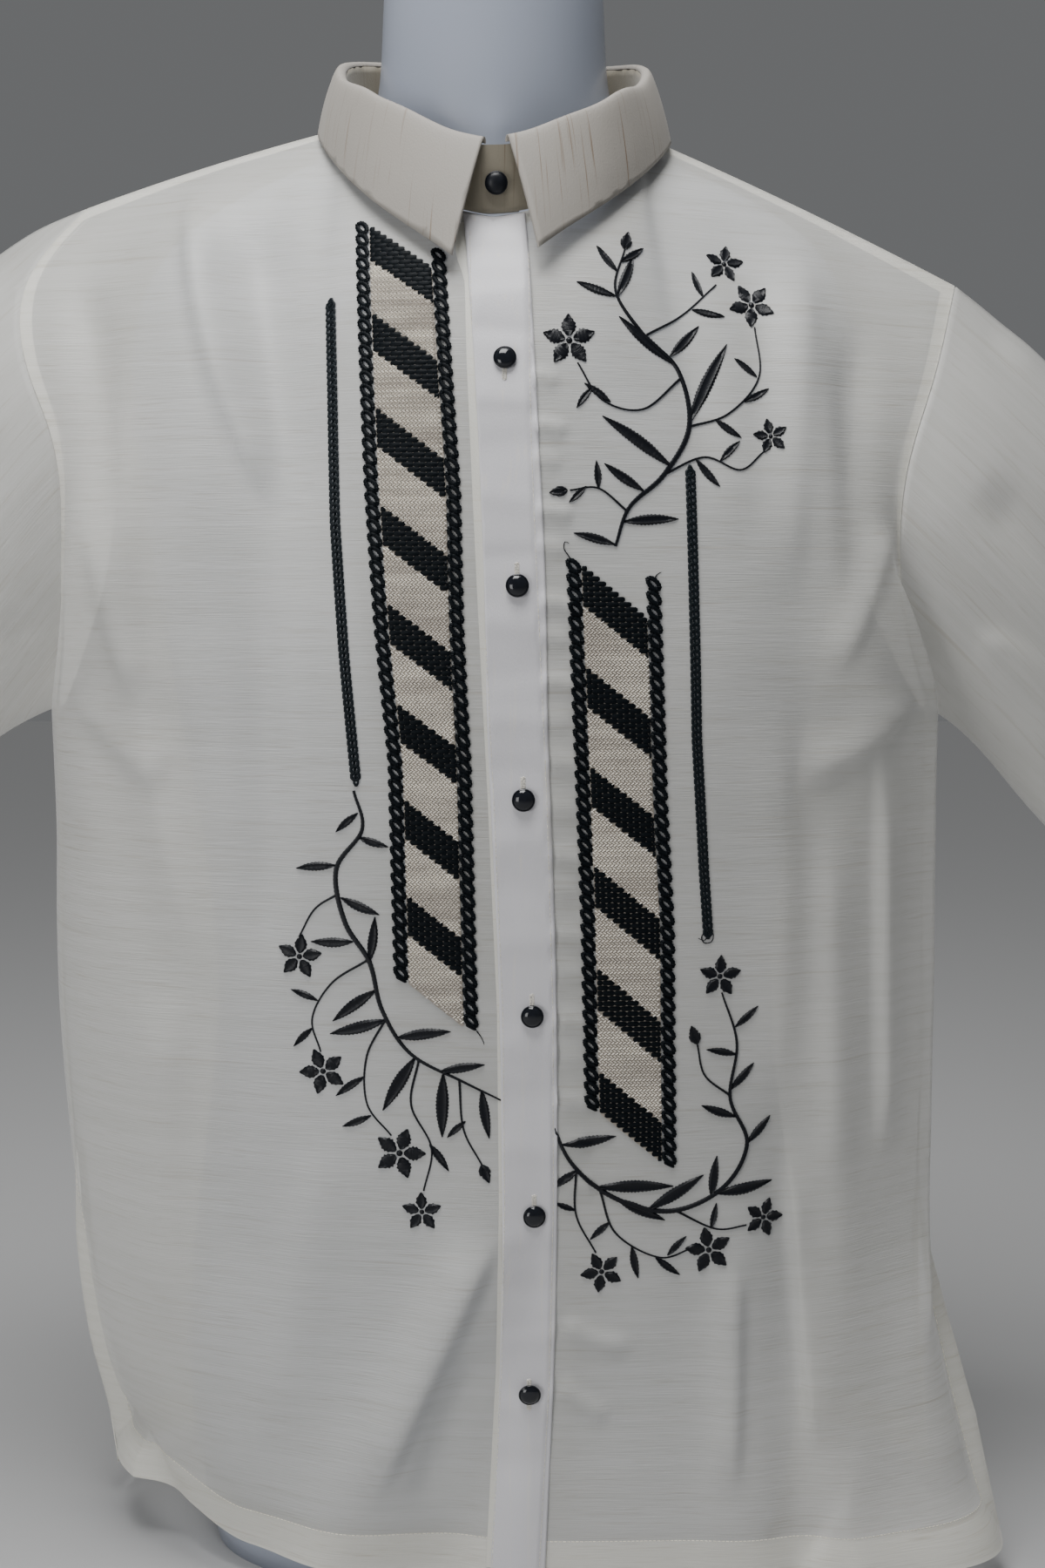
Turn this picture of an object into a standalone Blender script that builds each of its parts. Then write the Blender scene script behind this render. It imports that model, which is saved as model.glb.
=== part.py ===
"""A barong tagalog: a sheer, straight-cut short-sleeved shirt, worn by a limbless dress form.

Metres, +Z up. The front faces -Y and the wearer's left is +X. The origin is the middle of the
form's flat base, on the surface that it stands on. "Right" and "left" in a name are the wearer's.

Each cut piece of cloth is a grid of points: rows run up the garment, and columns run round it,
past the right side, the front, the left side and the back in turn. Pieces that are sewn together
share the points of their seam, so their walls meet face to face with a thread's gap between.
"""

import math
from collections import namedtuple

import bmesh
import bpy
import numpy as np
from mathutils import Vector

COLLECTION = "barong_tagalog"
SHARP = math.radians(50)  # faces that meet at more than this keep a sharp edge

# Cloth and trims
CLOTH = 0.0012  # wall of the single cloth
DOUBLED = 0.0016  # wall of the collar and the placket, which are several layers
STITCHED = 0.0010  # thickness of the embroidered bands
STITCHED_GAP = 0.0006
SEAM_GAP = 0.0003
SLEEVE_GAP = 0.0009  # drawn off a sleeve at its armhole, where the pieces meet at an angle

# Body of the shirt
HEM_Z = 0.020
RIGHT_VENT_Z = 0.221  # tops of the two side vents
LEFT_VENT_Z = 0.190
ARMPIT_Z = 0.460
BACK_MIDDLE_X = 0.004
BACK_SQUARE = 2.4
HALF_WIDTH = 0.29  # round the cloth from the middle of a front to its side
BELOW_VENT_ROWS = 6
BODY_ROWS = 8
YOKE_ROWS = 12  # from the armpits up to the shoulder seams
NECK_COLUMNS = 6
SHOULDER_COLUMNS = 10
COLUMNS = NECK_COLUMNS + SHOULDER_COLUMNS  # from the middle of a front to its side
SHOULDER_RISE = 0.002  # how far a shoulder seam bows up between its ends
OUTLINE_SAMPLES = 90  # points from which a quarter of an outline is spaced evenly
LEAST_EVENNESS = 0.9  # limits how far a wall is stretched at a sharp seam

# Trims
PLACKET_WIDTH = 0.032
PLACKET_COLUMNS = 4
PLACKET_SHORT = 0.12  # share of a row by which it stops below the neckline
BUTTON_RADIUS = 0.0057
BUTTON_HEIGHT = 0.0034
BUTTON_RIM = 0.4  # share of its height at which the dome starts
BUTTON_BACK = 0.9  # radius of its flat back, as a share
BUTTON_SIDES = 14
BUTTON_RINGS = 5
BUTTON_GAP = 0.0008
BUTTON_HEIGHTS = (0.635, 0.526, 0.423, 0.316, 0.214, 0.121)
COLLAR_BUTTON_UP = 0.45  # share of the stand's height
COLLAR_BUTTON_BESIDE = 0.125  # stations either side of it, for the way that it faces

# Dress form
FORM_SIDES = 28
NECK_TOP_Z = 0.850

# The shirt's outline at each height: its two sides, how square each half of the front is, the
# middle of the front, which wanders with the placket, and the middle of the back.
Section = namedtuple(
    "Section", "z right_x right_y right_square front_x front_y left_square left_x left_y back_y"
)
SECTIONS = (
    Section(0.020, -0.208, 0.024, 1.75, 0.0150, -0.110, 3.0, 0.274, -0.053, 0.118),
    Section(0.073, -0.218, 0.017, 1.95, 0.0172, -0.111, 2.8, 0.258, -0.037, 0.117),
    Section(0.124, -0.227, 0.010, 2.10, 0.0193, -0.112, 2.6, 0.246, -0.020, 0.116),
    Section(0.190, -0.233, 0.004, 2.25, 0.0208, -0.115, 2.5, 0.238, 0.002, 0.117),
    Section(0.260, -0.238, 0.002, 2.35, 0.0208, -0.118, 2.4, 0.239, 0.002, 0.119),
    Section(0.330, -0.240, 0.002, 2.40, 0.0198, -0.121, 2.4, 0.238, 0.002, 0.122),
    Section(0.400, -0.238, 0.002, 2.40, 0.0168, -0.124, 2.4, 0.237, 0.002, 0.124),
    Section(0.460, -0.240, 0.002, 2.40, 0.0140, -0.125, 2.4, 0.238, 0.002, 0.126),
)

# How far the back's vent edges lie from the front's. Nothing above the vents.
Spread = namedtuple("Spread", "z right_x right_y left_x left_y")
VENT_SPREAD = (
    Spread(0.020, -0.013, 0.006, -0.024, 0.072),
    Spread(0.073, -0.008, 0.004, -0.013, 0.050),
    Spread(0.124, -0.004, 0.003, -0.005, 0.030),
    Spread(0.190, -0.001, 0.001, 0.000, 0.000),
    Spread(0.221, 0.000, 0.000, 0.000, 0.000),
    Spread(0.460, 0.000, 0.000, 0.000, 0.000),
)

# The armhole seams, from the underarm at 0 to the shoulder seam at 1. The right one stands out
# in a puff near its top.
Armhole = namedtuple("Armhole", "along x y z")
ARMHOLES = {
    ("right", "front"): (
        Armhole(0.00, -0.240, 0.002, 0.460),
        Armhole(0.08, -0.2370, -0.013, 0.4650),
        Armhole(0.18, -0.2290, -0.034, 0.488),
        Armhole(0.35, -0.221, -0.064, 0.530),
        Armhole(0.55, -0.220, -0.071, 0.596),
        Armhole(0.72, -0.242, -0.054, 0.648),
        Armhole(0.86, -0.244, -0.028, 0.690),
        Armhole(1.00, -0.219, 0.006, 0.730),
    ),
    ("left", "front"): (
        Armhole(0.00, 0.238, 0.002, 0.460),
        Armhole(0.08, 0.2360, -0.012, 0.4640),
        Armhole(0.18, 0.2265, -0.029, 0.482),
        Armhole(0.36, 0.210, -0.062, 0.522),
        Armhole(0.58, 0.209, -0.070, 0.582),
        Armhole(0.78, 0.229, -0.044, 0.636),
        Armhole(1.00, 0.249, 0.006, 0.689),
    ),
    ("right", "back"): (
        Armhole(0.00, -0.240, 0.002, 0.460),
        Armhole(0.08, -0.2390, 0.016, 0.4660),
        Armhole(0.18, -0.2350, 0.034, 0.488),
        Armhole(0.38, -0.224, 0.062, 0.542),
        Armhole(0.60, -0.222, 0.066, 0.606),
        Armhole(0.82, -0.230, 0.042, 0.672),
        Armhole(1.00, -0.219, 0.006, 0.730),
    ),
    ("left", "back"): (
        Armhole(0.00, 0.238, 0.002, 0.460),
        Armhole(0.08, 0.2360, 0.016, 0.4645),
        Armhole(0.18, 0.2290, 0.034, 0.484),
        Armhole(0.38, 0.214, 0.062, 0.528),
        Armhole(0.60, 0.212, 0.064, 0.586),
        Armhole(0.82, 0.232, 0.040, 0.642),
        Armhole(1.00, 0.249, 0.006, 0.689),
    ),
}

# Above the armpits each column is a curve from the chest to the neckline or the shoulder seam.
# A pull is the curve's direction and strength at one end of it.
CHEST_PULL = (0.0, 0.0, 0.28)
Arrive = namedtuple("Arrive", "middle neck_side shoulder_end")
ARRIVALS = {
    "front": Arrive((-0.016, 0.12, 0.20), (0.0, 0.19, 0.05), (0.0, 0.25, 0.08)),
    "back": Arrive((0.0, -0.25, 0.08), (0.0, -0.28, 0.04), (0.0, -0.24, 0.08)),
}
ARMHOLE_REACH = 2.2  # higher keeps the armhole's curl nearer to its edge

# The neckline, and the collar over it, at stations round the neck from the middle of the front
# past the left side. The stand leans out by lean at its top.
Neck = namedtuple("Neck", "x y z stand_height lean")
NECK_STATIONS = (
    Neck(0.001, -0.0780, 0.7090, 0.0315, 0.0065),
    Neck(0.044, -0.0635, 0.7230, 0.0315, 0.0050),
    Neck(0.070, -0.0330, 0.7470, 0.0310, 0.0030),
    Neck(0.077, 0.0020, 0.7680, 0.0310, 0.0010),
    Neck(0.056, 0.0400, 0.7760, 0.0330, 0.0010),
    Neck(0.000, 0.0540, 0.7790, 0.0340, 0.0010),
    Neck(-0.056, 0.0400, 0.7780, 0.0330, 0.0010),
    Neck(-0.077, 0.0020, 0.7720, 0.0280, 0.0010),
    Neck(-0.070, -0.0330, 0.7490, 0.0300, 0.0030),
    Neck(-0.042, -0.0635, 0.7240, 0.0310, 0.0050),
)
TAB_END, UNDER_END = -0.32, 10.28  # stations where the stand starts, on top, and ends, beneath
UNDER_LAP = 9.875  # where the leaf's right end meets the stand
TAB_ROUND = 0.22  # stations over which the tab's upper corner is rounded
TAB_HEIGHT = 0.62  # share of the stand's height that its rounded end keeps
TAB_COLUMNS = 5
STAND_ROWS = 4
STAND_OVER = 1.5  # stations over which the stand comes down off the placket
STAND_LIFT = 0.0012  # clears the chords of the neckline
COLLAR_STEP = 0.25  # stations between two columns of the collar

# The collar leaf's free edge, at stations of the neck.
Leaf = namedtuple("Leaf", "station x y z")
LEAF_EDGE = (
    Leaf(0.25, 0.0246, -0.1010, 0.6925),
    Leaf(1.00, 0.0545, -0.0785, 0.7140),
    Leaf(2.00, 0.0820, -0.0420, 0.7410),
    Leaf(3.00, 0.0945, 0.0010, 0.7650),
    Leaf(4.00, 0.0700, 0.0560, 0.7720),
    Leaf(5.00, 0.0000, 0.0800, 0.7700),
    Leaf(6.00, -0.0700, 0.0560, 0.7740),
    Leaf(7.00, -0.0935, 0.0010, 0.7700),
    Leaf(8.00, -0.0815, -0.0420, 0.7430),
    Leaf(9.00, -0.0545, -0.0790, 0.7130),
    Leaf(9.875, -0.0131, -0.1010, 0.6830),
)
# The leaf's turn over the top of the stand: out from the stand's middle, and up from its top.
Turn = namedtuple("Turn", "out up")
LEAF_TURN = (
    Turn(-0.0008, 0.0009),
    Turn(-0.0006, 0.0022),
    Turn(0.0008, 0.0035),
    Turn(0.0030, 0.0039),
    Turn(0.0050, 0.0025),
)
LEAF_FALL_ROWS = 4
LEAF_BOW = 0.0012

# Sleeves: the cuff's highest and lowest points, its half depth, and the pull along the sleeve
# at its top and at its underarm.
Sleeve = namedtuple("Sleeve", "cuff_top cuff_low half_depth top_pull low_pull")
SLEEVES = {
    "right": Sleeve(
        cuff_top=(-0.420, 0.004, 0.585),
        cuff_low=(-0.346, 0.004, 0.398),
        half_depth=0.030,
        top_pull=(-0.26, 0.0, -0.07),
        low_pull=(-0.11, 0.0, -0.035),
    ),
    "left": Sleeve(
        cuff_top=(0.424, 0.004, 0.525),
        cuff_low=(0.331, 0.004, 0.374),
        half_depth=0.042,
        top_pull=(0.22, 0.0, -0.15),
        low_pull=(0.10, 0.0, -0.045),
    ),
}
SLEEVE_ROWS = 9
SLEEVE_BULGE = 0.09  # how strongly the cloth leaves the armhole forwards and backwards

# The largest folds. across is 0 at the middle of a front or of the back and 1 at its side, and
# a fold runs from its top to its foot. A hollow has a negative depth.
Fold = namedtuple("Fold", "piece top_across top_z foot_across foot_z width depth")
FOLDS = (
    Fold("front_right", 0.66, 0.720, 0.54, 0.560, 0.022, 0.0050),
    Fold("front_right", 0.54, 0.690, 0.46, 0.570, 0.026, -0.0045),
    Fold("front_right", 0.86, 0.700, 0.84, 0.600, 0.020, -0.0050),
    Fold("front_right", 0.84, 0.560, 0.62, 0.300, 0.022, 0.0040),
    Fold("front_right", 0.70, 0.480, 0.50, 0.200, 0.026, -0.0040),
    Fold("front_right", 0.06, 0.190, 0.40, 0.010, 0.022, 0.0080),
    Fold("front_right", 0.02, 0.120, 0.18, 0.000, 0.022, -0.0070),
    Fold("front_left", 0.80, 0.500, 0.80, 0.150, 0.012, 0.0070),
    Fold("front_left", 0.90, 0.480, 0.90, 0.170, 0.012, -0.0080),
    Fold("front_left", 0.54, 0.270, 0.60, 0.040, 0.015, 0.0060),
    Fold("front_left", 0.40, 0.190, 0.42, 0.040, 0.015, 0.0050),
    Fold("front_left", 0.48, 0.230, 0.51, 0.030, 0.018, -0.0050),
    Fold("front_left", 0.70, 0.700, 0.62, 0.480, 0.024, 0.0040),
    Fold("front_left", 0.55, 0.680, 0.50, 0.400, 0.026, -0.0040),
    Fold("back_left", 0.30, 0.640, 0.36, 0.060, 0.024, 0.0070),
    Fold("back_left", 0.46, 0.560, 0.52, 0.040, 0.022, -0.0060),
    Fold("back_left", 0.78, 0.520, 0.66, 0.120, 0.020, 0.0060),
    Fold("back_right", 0.24, 0.600, 0.28, 0.030, 0.026, 0.0070),
    Fold("back_right", 0.44, 0.640, 0.46, 0.090, 0.022, -0.0060),
    Fold("back_right", 0.72, 0.540, 0.60, 0.050, 0.022, 0.0060),
)
FOLD_FADE = 0.06  # metres over which a fold fades at its ends
TOP_ROWS = 3  # rows over which every fold fades below the neckline and the shoulder seams
EDGE_FADE = 0.09  # share of the panel's width over which a fold fades at a seam

# Folds of the sleeves, at a share of the way round from the underarm past the front.
Ripple = namedtuple("Ripple", "sleeve around along width depth")
RIPPLES = (
    Ripple("right", 0.12, 0.45, 0.05, 0.006),
    Ripple("right", 0.30, 0.55, 0.06, -0.007),
    Ripple("right", 0.66, 0.60, 0.06, -0.006),
    Ripple("right", 0.86, 0.45, 0.05, 0.005),
    Ripple("left", 0.14, 0.45, 0.05, 0.006),
    Ripple("left", 0.34, 0.60, 0.06, -0.007),
    Ripple("left", 0.64, 0.55, 0.06, 0.005),
    Ripple("left", 0.80, 0.60, 0.05, -0.005),
)
RIPPLE_LENGTH = 0.38  # share of the sleeve's length
RIPPLE_START = 0.33  # share of that length over which the ripples rise from the armhole

# Thick embroidery that lies on the fronts: metres round the cloth from the middle of the front.
Strip = namedtuple("Strip", "name top_inner top_outer top_z foot_inner foot_outer foot_z columns")
STRIPS = (
    Strip("embroidered_band_right", -0.0310, -0.0780, 0.696, -0.0290, -0.0685, 0.320, 5),
    Strip("embroidered_band_left", 0.0275, 0.0675, 0.537, 0.0285, 0.0695, 0.250, 4),
    Strip("braid_right", -0.0910, -0.0960, 0.664, -0.0825, -0.0875, 0.427, 1),
    Strip("braid_left", 0.0870, 0.0920, 0.582, 0.0850, 0.0900, 0.355, 1),
)

# The form's sections. A low square draws a section's front and back in towards the shoulders.
Oval = namedtuple("Oval", "z half_width front_y back_y square")
FORM = (
    Oval(0.000, 0.158, -0.088, 0.094, 2.2),
    Oval(0.050, 0.170, -0.094, 0.100, 2.2),
    Oval(0.110, 0.175, -0.096, 0.102, 2.2),
    Oval(0.200, 0.166, -0.094, 0.094, 2.2),
    Oval(0.300, 0.150, -0.092, 0.084, 2.2),
    Oval(0.380, 0.158, -0.098, 0.090, 2.2),
    Oval(0.450, 0.171, -0.106, 0.100, 2.2),
    Oval(0.520, 0.183, -0.110, 0.104, 2.1),
    Oval(0.580, 0.192, -0.103, 0.099, 2.0),
    Oval(0.630, 0.197, -0.090, 0.088, 1.9),
    Oval(0.665, 0.196, -0.079, 0.077, 1.8),
    Oval(0.690, 0.188, -0.070, 0.067, 1.65),
    Oval(0.710, 0.173, -0.063, 0.059, 1.5),
    Oval(0.724, 0.155, -0.060, 0.054, 1.4),
    Oval(0.738, 0.130, -0.059, 0.050, 1.25),
    Oval(0.749, 0.105, -0.058, 0.048, 1.15),
    Oval(0.758, 0.082, -0.058, 0.046, 1.35),
    Oval(0.768, 0.068, -0.057, 0.045, 1.7),
    Oval(0.786, 0.060, -0.057, 0.045, 2.0),
    Oval(0.843, 0.059, -0.056, 0.045, 2.0),
    Oval(0.848, 0.056, -0.053, 0.042, 2.0),
    Oval(NECK_TOP_Z, 0.051, -0.048, 0.037, 2.0),
)

# Colour, roughness and metallic value
Finish = namedtuple("Finish", "color roughness metallic")
FINISHES = {
    "sheer_cloth": Finish((0.74, 0.74, 0.69), 0.55, 0.0),
    "doubled_cloth": Finish((0.80, 0.77, 0.72), 0.60, 0.0),
    "black_gloss": Finish((0.01, 0.01, 0.012), 0.15, 0.0),
    "stripe_thread": Finish((0.38, 0.35, 0.30), 0.75, 0.0),
    "black_thread": Finish((0.02, 0.02, 0.022), 0.60, 0.0),
    "white_form": Finish((0.72, 0.75, 0.80), 0.30, 0.0),
}


def clear_scene():
    for thing in list(bpy.data.objects):
        bpy.data.objects.remove(thing, do_unlink=True)


def material(name):
    """A Principled material with one of the finishes."""
    found = bpy.data.materials.get(name)
    if found:
        return found
    made = bpy.data.materials.new(name)
    made.use_nodes = True
    shader = made.node_tree.nodes["Principled BSDF"]
    shader.inputs["Base Color"].default_value = (*FINISHES[name].color, 1.0)
    shader.inputs["Roughness"].default_value = FINISHES[name].roughness
    shader.inputs["Metallic"].default_value = FINISHES[name].metallic
    made.diffuse_color = (*FINISHES[name].color, 1.0)
    return made


def add_mesh(name, mesh, finish):
    """Puts a mesh in the shirt's collection with its finish."""
    mesh.materials.append(material(finish))
    mesh.shade_smooth()
    mesh.set_sharp_from_angle(angle=SHARP)
    made = bpy.data.objects.new(name, mesh)
    bpy.data.collections[COLLECTION].objects.link(made)
    return made


# ---- curves and grids ----


def smooth_step(share):
    share = np.clip(share, 0.0, 1.0)
    return share * share * (3.0 - 2.0 * share)


def hermite(start, end, leave, arrive, share):
    """The point at a share of the way along a cubic with these ends and end pulls."""
    square, cube = share * share, share**3
    return (
        (2 * cube - 3 * square + 1) * start
        + (cube - 2 * square + share) * leave
        + (3 * square - 2 * cube) * end
        + (cube - square) * arrive
    )


def read(table, place):
    """A row of a table at any value of its first column, smooth between the rows given."""
    rows = np.array(table, float)
    places = rows[:, 0]
    pulls = np.gradient(rows, places, axis=0)
    low = int(np.clip(np.searchsorted(places, place) - 1, 0, len(places) - 2))
    span = places[low + 1] - places[low]
    share = float(np.clip((place - places[low]) / span, 0.0, 1.0))
    found = hermite(rows[low], rows[low + 1], pulls[low] * span, pulls[low + 1] * span, share)
    return type(table[0])(*found)


def evenly(points, count):
    """Points evenly spaced along a line of points."""
    steps = np.linalg.norm(np.diff(points, axis=0), axis=1)
    along = np.concatenate(([0.0], np.cumsum(steps)))
    wanted = np.linspace(0.0, along[-1], count)
    return np.column_stack([np.interp(wanted, along, points[:, axis]) for axis in range(3)])


def unit(vectors):
    return vectors / np.linalg.norm(vectors, axis=-1, keepdims=True)


def shared_normals(grids):
    """Outward normals of sewn grids, the same for each piece at a shared point, stretched so
    that a wall keeps its thickness where the pieces meet at an angle."""
    points = np.concatenate([grid.reshape(-1, 3) for grid in grids])
    shared = np.unique(np.round(points, 6), axis=0, return_inverse=True)[1].reshape(-1)
    total = np.zeros((shared.max() + 1, 3))
    faces = np.zeros(shared.max() + 1)
    start = 0
    for grid in grids:
        rows, columns = grid.shape[:2]
        index = shared[start : start + rows * columns].reshape(rows, columns)
        start += rows * columns
        rising = grid[1:, 1:] - grid[:-1, :-1]
        falling = grid[1:, :-1] - grid[:-1, 1:]
        facing = unit(np.cross(rising, falling))
        for corner in (index[:-1, :-1], index[:-1, 1:], index[1:, :-1], index[1:, 1:]):
            np.add.at(total, corner, facing)
            np.add.at(faces, corner, 1.0)
    mean = total / faces[:, None]
    evenness = np.clip(np.linalg.norm(mean, axis=1), LEAST_EVENNESS, 1.0)
    stretched = (unit(mean) / evenness[:, None])[shared]
    made = []
    start = 0
    for grid in grids:
        size = grid.shape[0] * grid.shape[1]
        made.append(stretched[start : start + size].reshape(grid.shape))
        start += size
    return made


def drawn_in(edge, beside, gap):
    """An edge moved towards the points beside it, square to its own run."""
    along = unit(np.gradient(edge, axis=0))
    into = beside - edge
    into = into - np.sum(into * along, axis=1, keepdims=True) * along
    return gap * unit(into)


def trimmed(grid, left=0.0, right=0.0, foot=0.0, top=0.0):
    """The grid with its borders drawn in along the cloth."""
    cut = grid.copy()
    cut[:, 0] += drawn_in(grid[:, 0], grid[:, 1], left)
    cut[:, -1] += drawn_in(grid[:, -1], grid[:, -2], right)
    cut[0] += drawn_in(grid[0], grid[1], foot)
    cut[-1] += drawn_in(grid[-1], grid[-2], top)
    return cut


def wall(name, outer, inner, finish, closed=False, proud=False):
    """A closed wall between two grids. A closed one joins its last column to its first. Each
    four-sided face bends along its hollow diagonal, or along its proud one on a piece that
    lies on another, so that the two never cross."""
    rows, columns = outer.shape[:2]
    bm = bmesh.new()
    skins = []
    for grid in (outer, inner):
        skins.append([[bm.verts.new(point) for point in row] for row in grid])
    out, back = skins
    last = columns if closed else columns - 1
    for r in range(rows - 1):
        for c in range(last):
            d = (c + 1) % columns
            around = ((r, c), (r, d), (r + 1, d), (r + 1, c))
            corners = [outer[place] for place in around]
            rising, falling = corners[2] - corners[0], corners[3] - corners[1]
            higher = (corners[0] + corners[2] - corners[1] - corners[3]) @ np.cross(rising, falling)
            turned = around if (higher > 0) == proud else around[1:] + around[:1]
            for three in ((0, 1, 2), (0, 2, 3)):
                places = [turned[k] for k in three]
                bm.faces.new([out[row][column] for row, column in places])
                bm.faces.new([back[row][column] for row, column in reversed(places)])
    for c in range(last):
        d = (c + 1) % columns
        bm.faces.new((out[0][c], back[0][c], back[0][d], out[0][d]))
        bm.faces.new((out[-1][c], out[-1][d], back[-1][d], back[-1][c]))
    if not closed:
        for r in range(rows - 1):
            bm.faces.new((out[r][0], out[r + 1][0], back[r + 1][0], back[r][0]))
            bm.faces.new((out[r][-1], back[r][-1], back[r + 1][-1], out[r + 1][-1]))
    bmesh.ops.recalc_face_normals(bm, faces=bm.faces)
    mesh = bpy.data.meshes.new(name)
    bm.to_mesh(mesh)
    bm.free()
    return add_mesh(name, mesh, finish)


# ---- the neck, which the fronts, the back and the collar share ----


def neck(station):
    """The neckline at any station: its point, and the outward direction level with it."""
    count = len(NECK_STATIONS)
    rows = np.array(NECK_STATIONS, float)
    low = math.floor(station)
    around = [rows[(low + step) % count] for step in (-1, 0, 1, 2)]
    leave, arrive = (around[2] - around[0]) / 2, (around[3] - around[1]) / 2
    found = hermite(around[1], around[2], leave, arrive, station - low)
    along = around[2] - around[1] + (leave + arrive) / 2
    out = unit(np.array((along[1], -along[0], 0.0)))
    return Neck(*found), out


def neckline(first, last, count):
    """The points of the neckline between two stations."""
    return np.array([neck(station)[0][:3] for station in np.linspace(first, last, count)])


# ---- the fronts, the back and the sleeves as grids ----

LOWER_ROWS = np.concatenate(
    (
        np.linspace(HEM_Z, LEFT_VENT_Z, BELOW_VENT_ROWS + 1),
        np.linspace(RIGHT_VENT_Z, ARMPIT_Z, BODY_ROWS),
    )
)


def quarter(middle, side, square, height):
    """A quarter of the shirt's outline, from its middle to its side, evenly spaced."""
    turn = np.linspace(0.0, math.pi / 2, OUTLINE_SAMPLES)
    x = middle[0] + (side[0] - middle[0]) * np.sin(turn) ** (2 / square)
    y = side[1] + (middle[1] - side[1]) * np.abs(np.cos(turn)) ** (2 / square)
    return evenly(np.column_stack((x, y, np.full(OUTLINE_SAMPLES, height))), COLUMNS + 1)


def lower_half(side, face, height):
    """One half of the front or the back below the armpits, from the middle to the side."""
    section = read(SECTIONS, height)
    spread = read(VENT_SPREAD, height)
    if side == "right":
        edge = np.array((section.right_x, section.right_y))
        apart, square = np.array((spread.right_x, spread.right_y)), section.right_square
    else:
        edge = np.array((section.left_x, section.left_y))
        apart, square = np.array((spread.left_x, spread.left_y)), section.left_square
    if face == "front":
        return quarter((section.front_x, section.front_y), edge, square, height)
    vent = RIGHT_VENT_Z if side == "right" else LEFT_VENT_Z
    if height < vent - 1e-6:
        edge = edge + apart
    return quarter((BACK_MIDDLE_X, section.back_y), edge, BACK_SQUARE, height)


def shoulder_seam(side):
    """The points of a shoulder seam from the neck out."""
    start = np.array(neck(7 if side == "right" else 3)[0][:3])
    end = np.array(ARMHOLES[side, "front"][-1][1:])
    share = np.linspace(0.0, 1.0, SHOULDER_COLUMNS + 1)[:, None]
    bow = 4 * share * (1 - share) * SHOULDER_RISE * np.array((0.0, 0.0, 1.0))
    return start + (end - start) * share + bow


def top_edge(side, face):
    """The neckline and then the shoulder seam, from the middle out."""
    stations = {
        ("right", "front"): (10, 7),
        ("left", "front"): (0, 3),
        ("right", "back"): (5, 7),
        ("left", "back"): (5, 3),
    }[side, face]
    round_neck = neckline(*stations, NECK_COLUMNS + 1)
    return np.concatenate((round_neck, shoulder_seam(side)[1:]))


def half_grid(side, face):
    """One half of the front or the back as a grid, from the middle to the side."""
    lower = [lower_half(side, face, height) for height in LOWER_ROWS]
    chest, top = lower[-1], top_edge(side, face)
    across = np.linspace(0.0, 1.0, COLUMNS + 1)[:, None]
    curl = across**ARMHOLE_REACH
    arrival = ARRIVALS[face]
    neck_share = np.clip(across * COLUMNS / NECK_COLUMNS, 0.0, 1.0)
    seam_share = np.clip((across * COLUMNS - NECK_COLUMNS) / SHOULDER_COLUMNS, 0.0, 1.0)
    at_neck = np.array(arrival.middle) * (1 - neck_share) + np.array(arrival.neck_side) * neck_share
    arriving = at_neck * (1 - seam_share) + np.array(arrival.shoulder_end) * seam_share
    upper = []
    for share in np.linspace(0.0, 1.0, YOKE_ROWS + 1)[1:]:
        row = hermite(chest, top, np.array(CHEST_PULL), arriving, share)
        seam = np.array(read(ARMHOLES[side, face], share)[1:])
        upper.append(row + curl * (seam - row[-1]))
    return np.array(lower + upper)


def fold_depth(piece, across, heights):
    """How far the folds of a piece move its points out."""
    depth = np.zeros_like(heights)
    for fold in FOLDS:
        if fold.piece != piece:
            continue
        fall = np.clip((fold.top_z - heights) / (fold.top_z - fold.foot_z), 0.0, 1.0)
        line = fold.top_across + (fold.foot_across - fold.top_across) * fall
        beside = (across - line) * HALF_WIDTH / fold.width
        ends = smooth_step((fold.top_z + FOLD_FADE - heights) / FOLD_FADE)
        ends = ends * smooth_step((heights - fold.foot_z + FOLD_FADE) / FOLD_FADE)
        depth += fold.depth * np.exp(-beside * beside) * ends
    at_seam = smooth_step((1.0 - across) / EDGE_FADE) * smooth_step(across / EDGE_FADE)
    top = smooth_step(np.arange(len(heights))[::-1, None] / TOP_ROWS)
    return depth * at_seam * top


def folded(piece, grid, normals, across):
    return grid + unit(normals) * fold_depth(piece, across, grid[..., 2])[..., None]


def armhole_ring(front, back, side):
    """The armhole, from the underarm past the front for the right, and the other way round
    for the left, so that the sleeve's normals point out."""
    start = len(LOWER_ROWS) - 1
    up_front = front[start:, 0 if side == "right" else -1]
    up_back = back[start:, -1 if side == "right" else 0]
    ring = np.concatenate((up_front, up_back[::-1][1:]))
    return ring if side == "right" else ring[::-1]


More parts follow.
